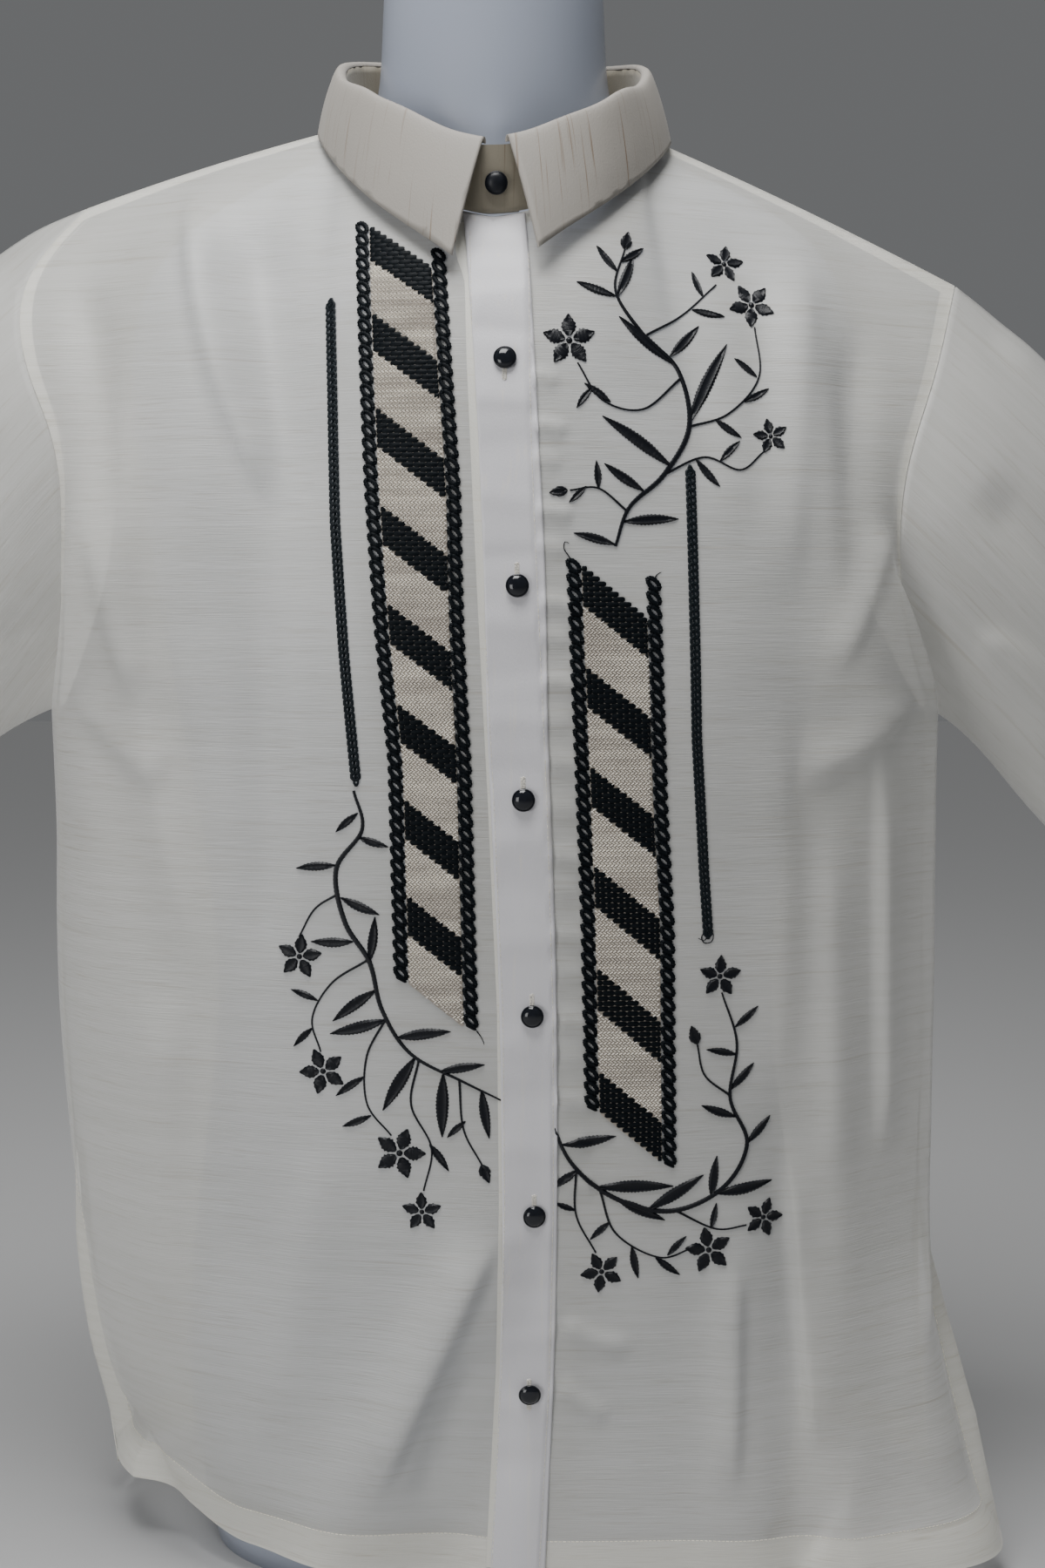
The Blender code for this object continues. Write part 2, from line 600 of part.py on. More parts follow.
def sleeve_grid(ring, side):
    """The sleeve from the armhole out to the cuff, as a closed ring of columns that ends on
    its first point."""
    sleeve = SLEEVES[side]
    top, low = np.array(sleeve.cuff_top), np.array(sleeve.cuff_low)
    centre, half = (top + low) / 2, (top - low) / 2
    share = np.linspace(0.0, 1.0, len(ring))[:, None]
    turn = 2 * math.pi * share
    forward = np.array((0.0, -1.0, 0.0)) * (1 if side == "right" else -1)
    cuff = centre - half * np.cos(turn) + forward * sleeve.half_depth * np.sin(turn)
    height = (1 - np.cos(turn)) / 2
    pull = np.array(sleeve.low_pull) * (1 - height) + np.array(sleeve.top_pull) * height
    bulge = forward * np.sin(turn) * height * SLEEVE_BULGE
    grid = np.array(
        [
            hermite(ring, cuff, pull + bulge, pull, along)
            for along in np.linspace(0.0, 1.0, SLEEVE_ROWS + 1)
        ]
    )
    normals = unit(shared_normals([grid])[0])
    along = np.linspace(0.0, 1.0, SLEEVE_ROWS + 1)[:, None]
    around = share.reshape(1, -1) if side == "right" else 1 - share.reshape(1, -1)
    depth = np.zeros(grid.shape[:2])
    for ripple in RIPPLES:
        if ripple.sleeve != side:
            continue
        beside = (around - ripple.around) / ripple.width
        beyond = (along - ripple.along) / RIPPLE_LENGTH
        depth += ripple.depth * np.exp(-beside * beside - beyond * beyond)
    depth *= smooth_step(along / RIPPLE_START)
    depth[:, -1] = depth[:, 0]
    return grid + normals * depth[..., None]


def walled_sleeve(side, grid, normals):
    cut = trimmed(grid, foot=SLEEVE_GAP)[:, :-1]
    inner = cut - (normals * CLOTH)[:, :-1]
    wall("sleeve_" + side, cut, inner, "sheer_cloth", closed=True)


# ---- the collar ----


def stand_line(station, up):
    """A point of the stand's middle layer at a share of its height, and its outward way."""
    place, out = neck(station)
    over = 1.0 - smooth_step(station / STAND_OVER)
    offset = over * (DOUBLED + SEAM_GAP) - DOUBLED / 2 + CLOTH / 2
    base = np.array((place.x, place.y, place.z + STAND_LIFT))
    rise = np.array((0.0, 0.0, place.stand_height * up)) + out * place.lean * up
    return base + out * offset + rise, out


def collar_stations(first, last):
    """Stations between two, at steps that the stand and the leaf share."""
    even = np.arange(math.ceil(first / COLLAR_STEP), last / COLLAR_STEP) * COLLAR_STEP
    return np.unique(np.concatenate(([first], even, [UNDER_LAP], [last])))


def collar_stand():
    """The stand: a band round the neck whose left end laps over its right end."""
    tab = np.linspace(TAB_END, TAB_END + TAB_ROUND, TAB_COLUMNS)
    stations = np.concatenate((tab, collar_stations(0.0, UNDER_END)))
    outer, inner = [], []
    for up in np.linspace(0.0, 1.0, STAND_ROWS):
        out_row, in_row = [], []
        for station in stations:
            into = np.clip((station - TAB_END) / TAB_ROUND, 0.0, 1.0)
            rounded = TAB_HEIGHT + (1 - TAB_HEIGHT) * math.sqrt(1 - (1 - into) ** 2)
            point, out = stand_line(station, up * rounded)
            out_row.append(point + out * DOUBLED / 2)
            in_row.append(point - out * DOUBLED / 2)
        outer.append(out_row)
        inner.append(in_row)
    wall("collar_stand", np.array(outer), np.array(inner), "doubled_cloth")


def collar_leaf():
    """The leaf: it turns over the top of the stand and falls to its pointed free edge."""
    first, last = LEAF_EDGE[0].station, LEAF_EDGE[-1].station
    columns = []
    for station in collar_stations(first, last):
        top, out = stand_line(station, 1.0)
        turn = [top + out * part.out + np.array((0, 0, part.up)) for part in LEAF_TURN]
        edge = np.array(read(LEAF_EDGE, station)[1:])
        fall = [
            turn[-1] + (edge - turn[-1]) * share + out * 4 * share * (1 - share) * LEAF_BOW
            for share in np.linspace(0.0, 1.0, LEAF_FALL_ROWS + 1)[1:]
        ]
        columns.append(turn + fall)
    grid = np.array(columns).transpose(1, 0, 2)[::-1]
    normals = shared_normals([grid])[0]
    wall("collar_leaf", grid, grid - normals * DOUBLED, "doubled_cloth")


# ---- what lies on the fronts ----


class Front:
    """Both fronts as one sheet, read by metres round the cloth from its middle, and by row."""

    def __init__(self, right, left, right_normals, left_normals):
        self.points = np.concatenate((right, left[:, 1:]), axis=1)
        self.normals = np.concatenate((right_normals, left_normals[:, 1:]), axis=1)
        steps = np.linalg.norm(np.diff(self.points, axis=1), axis=2)
        along = np.concatenate((np.zeros((len(steps), 1)), np.cumsum(steps, axis=1)), axis=1)
        self.around = along - along[:, COLUMNS : COLUMNS + 1]

    def at(self, row, metres):
        """Point and normal at a row, which may lie between two, and at metres round."""
        low = min(int(row), len(self.points) - 2)
        share = row - low
        found = []
        for values in (self.points, self.normals):
            pair = [
                np.array([np.interp(metres, self.around[r], values[r, :, k]) for k in range(3)])
                for r in (low, low + 1)
            ]
            found.append(pair[0] * (1 - share) + pair[1] * share)
        return found[0], unit(found[1])

    def row_at(self, height, metres):
        """The row at which the cloth, at metres round, has this height."""
        heights = [self.at(row, metres)[0][2] for row in range(len(self.points))]
        return float(np.interp(height, heights, range(len(heights))))

    def strip(self, name, rows, edges, columns, lift, thickness, finish):
        """A wall that lies on the fronts. edges gives a row's two sides in metres round."""
        outer, inner = [], []
        for row in rows:
            first, last = edges(row)
            found = [self.at(row, metres) for metres in np.linspace(first, last, columns + 1)]
            inner.append([point + normal * lift for point, normal in found])
            outer.append([point + normal * (lift + thickness) for point, normal in found])
        return wall(name, np.array(outer), np.array(inner), finish, proud=True)


def placket(front):
    """The doubled strip down the front that carries the buttons."""
    half = PLACKET_WIDTH / 2
    rows = list(range(len(front.points)))
    rows[-1] -= PLACKET_SHORT

    def edges(row):
        return (-half, half)

    front.strip("placket", rows, edges, PLACKET_COLUMNS, SEAM_GAP, DOUBLED, "doubled_cloth")


def embroidered_strip(front, strip):
    """A band of thick stitching, which follows the cloth that it is worked on."""
    middle = (strip.top_inner + strip.top_outer) / 2
    foot, top = front.row_at(strip.foot_z, middle), front.row_at(strip.top_z, middle)
    rows = [foot] + [row for row in range(math.ceil(foot), int(top) + 1)] + [top]
    rows = [row for k, row in enumerate(rows) if k == 0 or row - rows[k - 1] > 1e-3]

    def edges(row):
        share = (row - foot) / (top - foot)
        inner = strip.foot_inner + (strip.top_inner - strip.foot_inner) * share
        outer = strip.foot_outer + (strip.top_outer - strip.foot_outer) * share
        return sorted((inner, outer))

    finish = "black_thread" if strip.name.startswith("braid") else "stripe_thread"
    front.strip(strip.name, rows, edges, strip.columns, STITCHED_GAP, STITCHED, finish)


def button(name, seat, facing):
    """A domed button, turned about the way it faces, with its flat back on its seat."""
    profile = bpy.data.meshes.new(name)
    dome = []
    for turn in np.linspace(0.0, math.pi / 2, BUTTON_RINGS):
        up = BUTTON_RIM + (1 - BUTTON_RIM) * math.sin(turn)
        dome.append((BUTTON_RADIUS * math.cos(turn), BUTTON_HEIGHT * up))
    dome[-1] = (0.0, BUTTON_HEIGHT)
    outline = dome[::-1] + [(BUTTON_RADIUS * BUTTON_BACK, 0.0), (0.0, 0.0)]
    bm = bmesh.new()
    corners = [bm.verts.new((x, 0.0, z)) for x, z in outline]
    for start, end in zip(corners, corners[1:]):
        bm.edges.new((start, end))
    spun = bm.verts[:] + bm.edges[:]
    bmesh.ops.spin(
        bm, geom=spun, axis=(0, 0, 1), cent=(0, 0, 0), angle=2 * math.pi, steps=BUTTON_SIDES,
        use_merge=True,
    )
    bmesh.ops.remove_doubles(bm, verts=bm.verts, dist=1e-6)
    bmesh.ops.recalc_face_normals(bm, faces=bm.faces)
    bm.to_mesh(profile)
    bm.free()
    made = add_mesh(name, profile, "black_gloss")
    made.location = seat
    made.rotation_mode = "QUATERNION"
    made.rotation_quaternion = Vector((0, 0, 1)).rotation_difference(Vector(facing))
    return made


def buttons(front):
    """Six buttons on the placket, and one on the stand's tab."""
    for number, height in enumerate(BUTTON_HEIGHTS, start=1):
        point, normal = front.at(front.row_at(height, 0.0), 0.0)
        seat = point + normal * (SEAM_GAP + DOUBLED + BUTTON_GAP)
        button(f"button_{number}", seat, normal)
    foot, top = stand_line(0.0, 0.0)[0], stand_line(0.0, 1.0)[0]
    left = stand_line(COLLAR_BUTTON_BESIDE, COLLAR_BUTTON_UP)[0]
    right = stand_line(-COLLAR_BUTTON_BESIDE, COLLAR_BUTTON_UP)[0]
    facing = unit(np.cross(left - right, top - foot))
    seat = foot + (top - foot) * COLLAR_BUTTON_UP + facing * (DOUBLED / 2 + BUTTON_GAP)
    button("button_collar", seat, facing)


# ---- the dress form ----


def rounded(share, square):
    """A sine or cosine made square or drawn in, by the power that a superellipse takes."""
    return math.copysign(abs(share) ** (2 / square), share)


def dress_form():
    """A limbless torso with a flat base and a plain neck: a stack of ovals, closed at both ends."""
    turn = np.linspace(0.0, 2 * math.pi, FORM_SIDES, endpoint=False)
    bm = bmesh.new()
    rings = []
    for oval in FORM:
        ring = []
        for angle in turn:
            depth = oval.back_y if math.sin(angle) > 0 else -oval.front_y
            x = oval.half_width * rounded(math.cos(angle), oval.square)
            ring.append(bm.verts.new((x, depth * rounded(math.sin(angle), oval.square), oval.z)))
        rings.append(ring)
    for low, high in zip(rings, rings[1:]):
        for k in range(FORM_SIDES):
            j = (k + 1) % FORM_SIDES
            bm.faces.new((low[k], low[j], high[j], high[k]))
    bm.faces.new(rings[0][::-1])
    bm.faces.new(rings[-1])
    mesh = bpy.data.meshes.new("dress_form")
    bm.to_mesh(mesh)
    bm.free()
    add_mesh("dress_form", mesh, "white_form")


# ---- build ----


def build():
    clear_scene()
    collection = bpy.data.collections.new(COLLECTION)
    bpy.context.scene.collection.children.link(collection)

    front_right = half_grid("right", "front")[:, ::-1]
    front_left = half_grid("left", "front")
    back_left = half_grid("left", "back")[:, ::-1]
    back_right = half_grid("right", "back")
    outward = np.linspace(0.0, 1.0, COLUMNS + 1)[None, :]
    halves = [front_right, front_left, back_left, back_right]
    names = ["front_right", "front_left", "back_left", "back_right"]
    acrosses = [outward[:, ::-1], outward, outward[:, ::-1], outward]
    halves = [
        folded(name, grid, normals, across)
        for name, grid, normals, across in zip(names, halves, shared_normals(halves), acrosses)
    ]
    front_right, front_left = halves[0], halves[1]
    back = np.concatenate((halves[2], halves[3][:, 1:]), axis=1)
    sleeves = {
        "right": sleeve_grid(armhole_ring(front_right, back, "right"), "right"),
        "left": sleeve_grid(armhole_ring(front_left, back, "left"), "left"),
    }

    sewn = [front_right, front_left, back, sleeves["right"], sleeves["left"]]
    normals = shared_normals(sewn)
    half_gap = SEAM_GAP / 2
    for name, grid, outward_normals in zip(("front_right", "front_left", "back"), sewn, normals):
        cut = trimmed(grid, left=half_gap, right=half_gap, top=half_gap)
        wall(name, cut, cut - outward_normals * CLOTH, "sheer_cloth")
    for side, outward_normals in zip(("right", "left"), normals[3:]):
        walled_sleeve(side, sleeves[side], outward_normals)

    front = Front(front_right, front_left, normals[0], normals[1])
    placket(front)
    for strip in STRIPS:
        embroidered_strip(front, strip)
    buttons(front)
    collar_stand()
    collar_leaf()
    dress_form()


build()
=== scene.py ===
import math
from collections import namedtuple

import bmesh
import bpy
import numpy as np
from mathutils import Matrix, Vector, noise
from mathutils.bvhtree import BVHTree


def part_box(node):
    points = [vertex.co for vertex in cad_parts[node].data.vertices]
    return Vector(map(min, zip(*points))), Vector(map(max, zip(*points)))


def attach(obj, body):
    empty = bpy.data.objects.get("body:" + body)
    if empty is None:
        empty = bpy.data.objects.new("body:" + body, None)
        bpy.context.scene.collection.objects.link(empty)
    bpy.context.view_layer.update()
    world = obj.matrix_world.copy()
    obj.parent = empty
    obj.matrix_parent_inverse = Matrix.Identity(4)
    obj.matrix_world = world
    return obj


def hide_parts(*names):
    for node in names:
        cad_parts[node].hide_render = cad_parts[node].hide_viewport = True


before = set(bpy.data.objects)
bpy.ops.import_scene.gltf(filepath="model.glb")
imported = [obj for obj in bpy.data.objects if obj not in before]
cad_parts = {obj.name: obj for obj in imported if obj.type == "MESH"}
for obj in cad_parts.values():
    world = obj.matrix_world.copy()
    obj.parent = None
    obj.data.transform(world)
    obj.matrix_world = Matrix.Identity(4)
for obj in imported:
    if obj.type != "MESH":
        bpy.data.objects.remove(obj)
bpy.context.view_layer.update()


# ---- Dress form ----
# A limbless display torso with a plain neck, moulded in white plastic and polished to a half
# gloss. It stands on its flat base, and its shoulders carry the shirt.

MERGE = 0.00001
SHARP = math.radians(50)


def merged(node):
    """A CAD node's solid with its loose triangles joined."""
    bm = bmesh.new()
    bm.from_mesh(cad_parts[node].data)
    bmesh.ops.remove_doubles(bm, verts=bm.verts, dist=MERGE)
    return bm


def in_scene(name, data):
    made = bpy.data.objects.new(name, data)
    bpy.context.scene.collection.objects.link(made)
    return made


def subdivided(bm, levels):
    """Smoothed by subdivision, once pairs of triangles are made one face each. Sharp edges stay
    crisp, and a free edge keeps its corners."""
    bmesh.ops.join_triangles(
        bm, faces=bm.faces, angle_face_threshold=math.radians(60), angle_shape_threshold=math.pi
    )
    crisp = bm.edges.layers.float.new("crease_edge")
    for edge in bm.edges:
        if edge.is_manifold and edge.calc_face_angle() > SHARP:
            edge[crisp] = 1.0
    mesh = bpy.data.meshes.new("coarse")
    bm.to_mesh(mesh)
    coarse = in_scene("coarse", mesh)
    smoothing = coarse.modifiers.new("smoothing", "SUBSURF")
    smoothing.levels = smoothing.render_levels = levels
    smoothing.boundary_smooth = "PRESERVE_CORNERS"
    fine = bpy.data.meshes.new_from_object(
        coarse.evaluated_get(bpy.context.evaluated_depsgraph_get())
    )
    bm.clear()
    bm.from_mesh(fine)
    bpy.data.objects.remove(coarse)
    bpy.data.meshes.remove(fine)
    bpy.data.meshes.remove(mesh)
    bm.normal_update()
    return bm


def placed(name, bm, material, slot, *nodes):
    """Makes a piece of the bmesh. It stands for the CAD nodes named."""
    mesh = bpy.data.meshes.new(name)
    bm.to_mesh(mesh)
    mesh.materials.append(material)
    mesh.shade_smooth()
    mesh.set_sharp_from_angle(angle=SHARP)
    piece = in_scene(name, mesh)
    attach(piece, "root")
    if nodes:
        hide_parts(*nodes)
    return piece


class Finish:
    """A material made of patterns that lie on the piece's own coordinates."""

    def __init__(self, name, color, roughness, **sockets):
        self.material = bpy.data.materials.new(name)
        self.material.use_nodes = True
        self.tree = self.material.node_tree
        self.shader = self.tree.nodes["Principled BSDF"]
        same_all_over = {"Base_Color": (*color, 1.0), "Roughness": roughness, **sockets}
        for socket, value in same_all_over.items():
            self.shader.inputs[socket.replace("_", " ")].default_value = value
        self.place = self.add("TexCoord").outputs["Object"]

    def add(self, kind, links=(), **settings):
        """Adds a node with its settings, and links what goes into it."""
        node = self.tree.nodes.new("ShaderNode" + kind)
        for setting, value in settings.items():
            if setting.replace("_", " ") in node.inputs:
                node.inputs[setting.replace("_", " ")].default_value = value
            else:
                setattr(node, setting, value)
        for entry, source in links:
            self.tree.links.new(source, node.inputs[entry])
        return node

    def drives(self, source, entry):
        """Lets a pattern set one of the shader's sockets."""
        self.tree.links.new(source, self.shader.inputs[entry])

    def noise(self, scale, detail, source=None):
        """Noise at a scale, or drawn out where it has a scale along each axis."""
        source = self.place if source is None else source
        if isinstance(scale, tuple):
            source = self.add("Mapping", [("Vector", source)], Scale=scale).outputs["Vector"]
            scale = 1.0
        return self.add("TexNoise", [("Vector", source)], Scale=scale, Detail=detail).outputs["Fac"]

    def shades(self, source, *ends):
        """Colours along a pattern, between two ends that each have a place and a colour."""
        ramp = self.add("ValToRGB", [("Fac", source)])
        for element, (position, color) in zip(ramp.color_ramp.elements, ends):
            element.position = position
            element.color = (*color, 1.0)
        return ramp.outputs["Color"]

    def colored(self, source, *ends):
        self.drives(self.shades(source, *ends), "Base Color")

    def spread(self, source, low, high):
        """A pattern's values spread between two others."""
        return self.add("MapRange", [("Value", source)], To_Min=low, To_Max=high).outputs["Result"]

    def relief(self, height, strength, distance):
        """Raises a pattern from the surface."""
        bump = self.add("Bump", [("Height", height)], Strength=strength, Distance=distance)
        self.drives(bump.outputs["Normal"], "Normal")


# hard plastic, a little bluish, with a faint unevenness from its mould
moulded = Finish(
    "moulded_white", (0.33, 0.36, 0.43), 0.30, Coat_Weight=0.25, Coat_Roughness=0.18
)
moulded.colored(moulded.noise(9.0, 3.0), (0.0, (0.31, 0.34, 0.41)), (1.0, (0.36, 0.39, 0.46)))
moulded.relief(moulded.noise(260.0, 2.0), 0.06, 0.0006)

form = subdivided(merged("dress_form"), 2)
form_tree = BVHTree.FromBMesh(form)
placed("display_torso", form, moulded.material, "white_form", "dress_form")


# ---- Fronts, back and sleeves ----
# Five cut pieces of sheer ivory cloth, woven from pineapple fibre and silk, so crisp that it
# stands off the form in a few soft folds. The form shows through it where it comes near.

WALL_EDGE = 0.0024  # a wall's rim is narrower than this
WAVE = 0.0008  # height of the cloth's own unevenness
OFF_FORM = 0.0012  # the least room between the cloth and the form
FADE_RINGS = 5  # edges over which a crease fades before a seam
HEM_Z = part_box("front_left")[0].z
VENT_TOP = {"right": 0.221, "left": 0.190}
SIDE_X = 0.19  # the vents lie further out than this


def islands(bm):
    """The separate surfaces of a bmesh, as lists of faces."""
    left, found = set(bm.faces), []
    while left:
        island, edge_of = [], [left.pop()]
        while edge_of:
            face = edge_of.pop()
            island.append(face)
            for edge in face.edges:
                for other in edge.link_faces:
                    if other in left:
                        left.remove(other)
                        edge_of.append(other)
        found.append(island)
    return found


def outer_side(node, levels):
    """The outer side of a cloth wall, without its rims and its inner side, made fine."""
    bm = merged(node)
    rims = [face for face in bm.faces if min(e.calc_length() for e in face.edges) < WALL_EDGE]
    bmesh.ops.delete(bm, geom=rims, context="FACES")
    sides = sorted(islands(bm), key=lambda side: sum(face.calc_area() for face in side))
    for side in sides[:-1]:
        bmesh.ops.delete(bm, geom=side, context="FACES")
    return subdivided(bm, levels)


def coordinates(bm):
    return np.array([vertex.co for vertex in bm.verts])


def move(bm, shift):
    """Moves each vertex along its normal."""
    bm.normal_update()
    for vertex, distance in zip(bm.verts, shift):
        vertex.co += vertex.normal * float(distance)
    bm.normal_update()


def rings_from(bm, started, most):
    """How many edges each vertex lies from the started ones, up to most."""
    bm.verts.index_update()
    ring = np.full(len(bm.verts), most)
    here = list(started)
    for count in range(most):
        following = []
        for vertex in here:
            if ring[vertex.index] > count:
                ring[vertex.index] = count
                following += [edge.other_vert(vertex) for edge in vertex.link_edges]
        here = [vertex for vertex in following if ring[vertex.index] > count + 1]
    return ring


def smooth_step(share):
    share = np.clip(share, 0.0, 1.0)
    return share * share * (3.0 - 2.0 * share)


CREASE_STEPS = 90
CREASE_ENDS = 0.25  # the share of its length over which a crease rises at either end


def crease_depth(points, creases):
    """How far the creases lift points, read across and up. A crease's row has three places
    that it runs through, across and up, then its width and depth, all in millimetres, and its
    skew. A positive skew makes it steeper on its right side as it runs down."""
    lift = np.zeros(len(points))
    flat = points[:, [0, 2]]
    for *places, width, depth, skew in creases:
        top, middle, foot = np.array(places).reshape(3, 2) / 1000
        width, depth = width / 1000, depth / 1000
        share = np.linspace(0.0, 1.0, CREASE_STEPS)[:, None]
        bend = 2 * middle - (top + foot) / 2
        line = (1 - share) ** 2 * top + 2 * share * (1 - share) * bend + share**2 * foot
        along = np.gradient(line, axis=0)
        along /= np.linalg.norm(along, axis=1, keepdims=True)
        reach = 4 * width
        low, high = line.min(0) - reach, line.max(0) + reach
        near = np.flatnonzero(((flat > low) & (flat < high)).all(1))
        if not len(near):
            continue
        offset = flat[near, None, :] - line[None]
        distance = np.linalg.norm(offset, axis=2)
        nearest = distance.argmin(1)
        picked = offset[np.arange(len(near)), nearest]
        side = np.sign(along[nearest, 0] * picked[:, 1] - along[nearest, 1] * picked[:, 0])
        beside = distance[np.arange(len(near)), nearest] / (width * (1.0 - skew * side))
        at = nearest / (CREASE_STEPS - 1)
        ends = smooth_step(at / CREASE_ENDS) * smooth_step((1 - at) / CREASE_ENDS)
        lift[near] += depth * np.exp(-beside * beside) * ends
    return lift


def unevenness(points):
    """The slow waviness of crisp cloth, and a finer one across it."""
    lift = []
    for x, y, z in points:
        behind = 7.0 if y > 0 else 0.0
        slow = noise.noise(Vector((x * 13, behind, z * 7)))
        quick = noise.noise(Vector((x * 48, behind, z * 20)))
        lift.append(WAVE * (slow + 0.35 * quick))
    return np.array(lift)


def off_form(bm, gap):
    """Lifts the vertices that are in the form, or nearer to it than the gap, off it."""
    for vertex in bm.verts:
        place, normal, _, distance = form_tree.find_nearest(vertex.co, 0.02)
        if place is None:
            continue
        inside = (vertex.co - place).dot(normal) < 0
        if inside or distance < gap:
            vertex.co = place + normal * gap
    bm.normal_update()


def is_free(vertex, piece):
    """Whether an edge vertex is on a hem, a vent or a cuff, and not in a seam."""
    x, _, z = vertex.co
    if piece.startswith("sleeve"):
        return abs(x) > 0.30
    if z < HEM_Z + 0.001:
        return True
    vent = VENT_TOP["left" if x > 0 else "right"]
    return abs(x) > SIDE_X and z < vent - 0.001


def turned_under(bm, started, rings, depth):
    """Adds the layer of cloth that is folded under along an edge, and returns the vertices
    of the cloth over its raw edge, where it is stitched down."""
    ring = rings_from(bm, started, rings + 1)
    started = set(started)
    normals = {vertex: vertex.normal.copy() for vertex in bm.verts}
    strip = [face for face in bm.faces if all(ring[v.index] <= rings for v in face.verts)]
    stitched = [edge for edge in bm.edges if all(ring[v.index] == rings for v in edge.verts)]
    folds = [edge for edge in bm.edges if edge.is_boundary and started.issuperset(edge.verts)]
    made = bmesh.ops.duplicate(bm, geom=strip)
    under = made["vert_map"]
    for vertex in {vertex for face in strip for vertex in face.verts}:
        under[vertex].co -= normals[vertex] * depth
    new_faces = [item for item in made["geom"] if isinstance(item, bmesh.types.BMFace)]
    bmesh.ops.reverse_faces(bm, faces=new_faces)
    for face in new_faces:
        face.material_index = 1
    for edge in folds:
        first, second = edge.verts
        if edge.link_loops and edge.link_loops[0].vert == first:
            first, second = second, first
        bm.faces.new((first, second, under[second], under[first])).material_index = 1
    bm.normal_update()
    return stitched


BODY_TONES = ((0.795, 0.79, 0.75), (0.855, 0.845, 0.805))
# The sleeves take the body's tones made darker: painted shade for the dark that shows through them.
SLEEVE_TONES_PAINTED_SHADE = ((0.73, 0.725, 0.69), (0.79, 0.78, 0.745))
DOUBLE_TONES = ((0.95, 0.93, 0.84), (0.99, 0.97, 0.89))
SLUB_BROWN = (0.50, 0.42, 0.31, 1.0)
SLUBS = (((10.0, 10.0, 460.0), 0.62, 0.44), ((38.0, 38.0, 760.0), 0.58, 0.32))
CLOSER_BEATEN = (0.955, 0.955, 0.945)
FULL = (1.0, 1.0, 1.0)


def sheer_cloth(name, weave_turn, tones, cover=0.58):
    """Ivory cloth that covers that share of what is behind it. Its slubs, thick brownish
    threads, run level on the body, and round a sleeve when the weave is turned with it."""
    cloth = Finish(
        name, (0.81, 0.79, 0.72), 0.46, Alpha=cover, Sheen_Weight=0.35, Sheen_Roughness=0.3
    )
    turned = cloth.add("Mapping", [("Vector", cloth.place)], Rotation=(0.0, weave_turn, 0.0))
    weave = turned.outputs["Vector"]
    slubs = [
        cloth.shades(cloth.noise(scale, 2.0, weave), (start, [0.0] * 3), (start + 0.18, [most] * 3))
        for scale, start, most in SLUBS
    ]
    thickest = cloth.add("Math", enumerate(slubs), operation="MAXIMUM").outputs["Value"]
    dark, pale = tones
    ground = cloth.shades(cloth.noise(7.0, 1.0, weave), (0.35, dark), (0.68, pale))
    bars = cloth.noise((5.0, 5.0, 300.0), 0.0, weave)
    bars = cloth.shades(bars, (0.36, CLOSER_BEATEN), (0.64, FULL))
    barred = cloth.add(
        "Mix", [(6, ground), (7, bars)], data_type="RGBA", blend_type="MULTIPLY", Factor=1.0
    )
    slubbed = cloth.add("Mix", [(0, thickest), (6, barred.outputs[2])], data_type="RGBA")
    slubbed.inputs[7].default_value = SLUB_BROWN
    cloth.drives(slubbed.outputs[2], "Base Color")
    weft = cloth.noise((60.0, 60.0, 1500.0), 1.0, weave)
    cloth.drives(cloth.spread(weft, 0.30, 0.58), "Roughness")
    cloth.relief(weft, 0.35, 0.0005)
    return cloth.material


FRONT_CREASES = [
    (-158, 740, -140, 640, -100, 560, 10, 5.2, -0.5),
    (-126, 720, -108, 640, -98, 545, 15, -4.4, -0.2),
    (-210, 690, -198, 620, -192, 540, 11, -3.6, 0.0),
    (-186, 640, -178, 480, -150, 330, 14, 3.4, 0.3),
    (-120, 560, -110, 440, -118, 320, 13, -2.6, 0.2),
    (-160, 330, -172, 230, -170, 120, 14, 3, 0.3), (-80, 260, -100, 170, -118, 70, 15, 2.4, -0.2),
    (2, 206, -26, 140, -66, 52, 10, 7, 0.6), (-4, 150, -24, 100, -38, 50, 10, -4, 0.0),
    (36, 160, 50, 150, 74, 144, 5, 2.6, 0.2), (34, 128, 46, 116, 62, 107, 5, 2.2, 0.2),
    (150, 250, 158, 160, 168, 80, 8, 4.6, -0.5), (122, 190, 123, 130, 122, 60, 7, 3.6, 0.4),
    (138, 480, 144, 360, 140, 250, 12, 2.6, 0.2), (170, 420, 172, 310, 176, 220, 9, 2.8, -0.2),
    (196, 460, 199, 330, 203, 225, 7, 5.2, -0.5), (160, 700, 152, 610, 144, 510, 13, 3.6, 0.3),
    (186, 670, 180, 580, 186, 500, 11, -3.4, 0.0), (110, 690, 118, 620, 116, 540, 14, 2, 0.0),
    (214, 474, 186, 446, 150, 432, 10, 4.2, 0.4), (-214, 474, -186, 446, -158, 428, 11, 2.6, -0.3),
    (200, 560, 188, 520, 168, 480, 8, 2.8, 0.3), (-200, 560, -190, 510, -176, 470, 8, 2.8, -0.3),
]
for up, reach, depth in (  # puckers at the band, whose dense stitching draws the cloth in
    (628, 10, 0.9), (604, 13, 1.2), (588, 9, 0.8), (563, 14, 1.3), (546, 10, 0.9), (519, 15, 1.4),
    (503, 10, 1), (481, 13, 1.3), (463, 9, 0.8), (442, 14, 1.3), (420, 11, 1.1), (396, 14, 1.5),
    (381, 9, 0.9), (357, 13, 1.3), (339, 11, 1), (314, 13, 1.4), (297, 9, 0.9), (274, 12, 1.2),
    (251, 10, 1), (232, 12, 1.1),
):
    drift = 0.04 * up
    places = (44.5 - drift, up, 46.5 - drift + reach / 2, up - 1, 49.0 - drift + reach, up - 4)
    FRONT_CREASES.append((*places, 4, 1.5 * depth, 0.2))
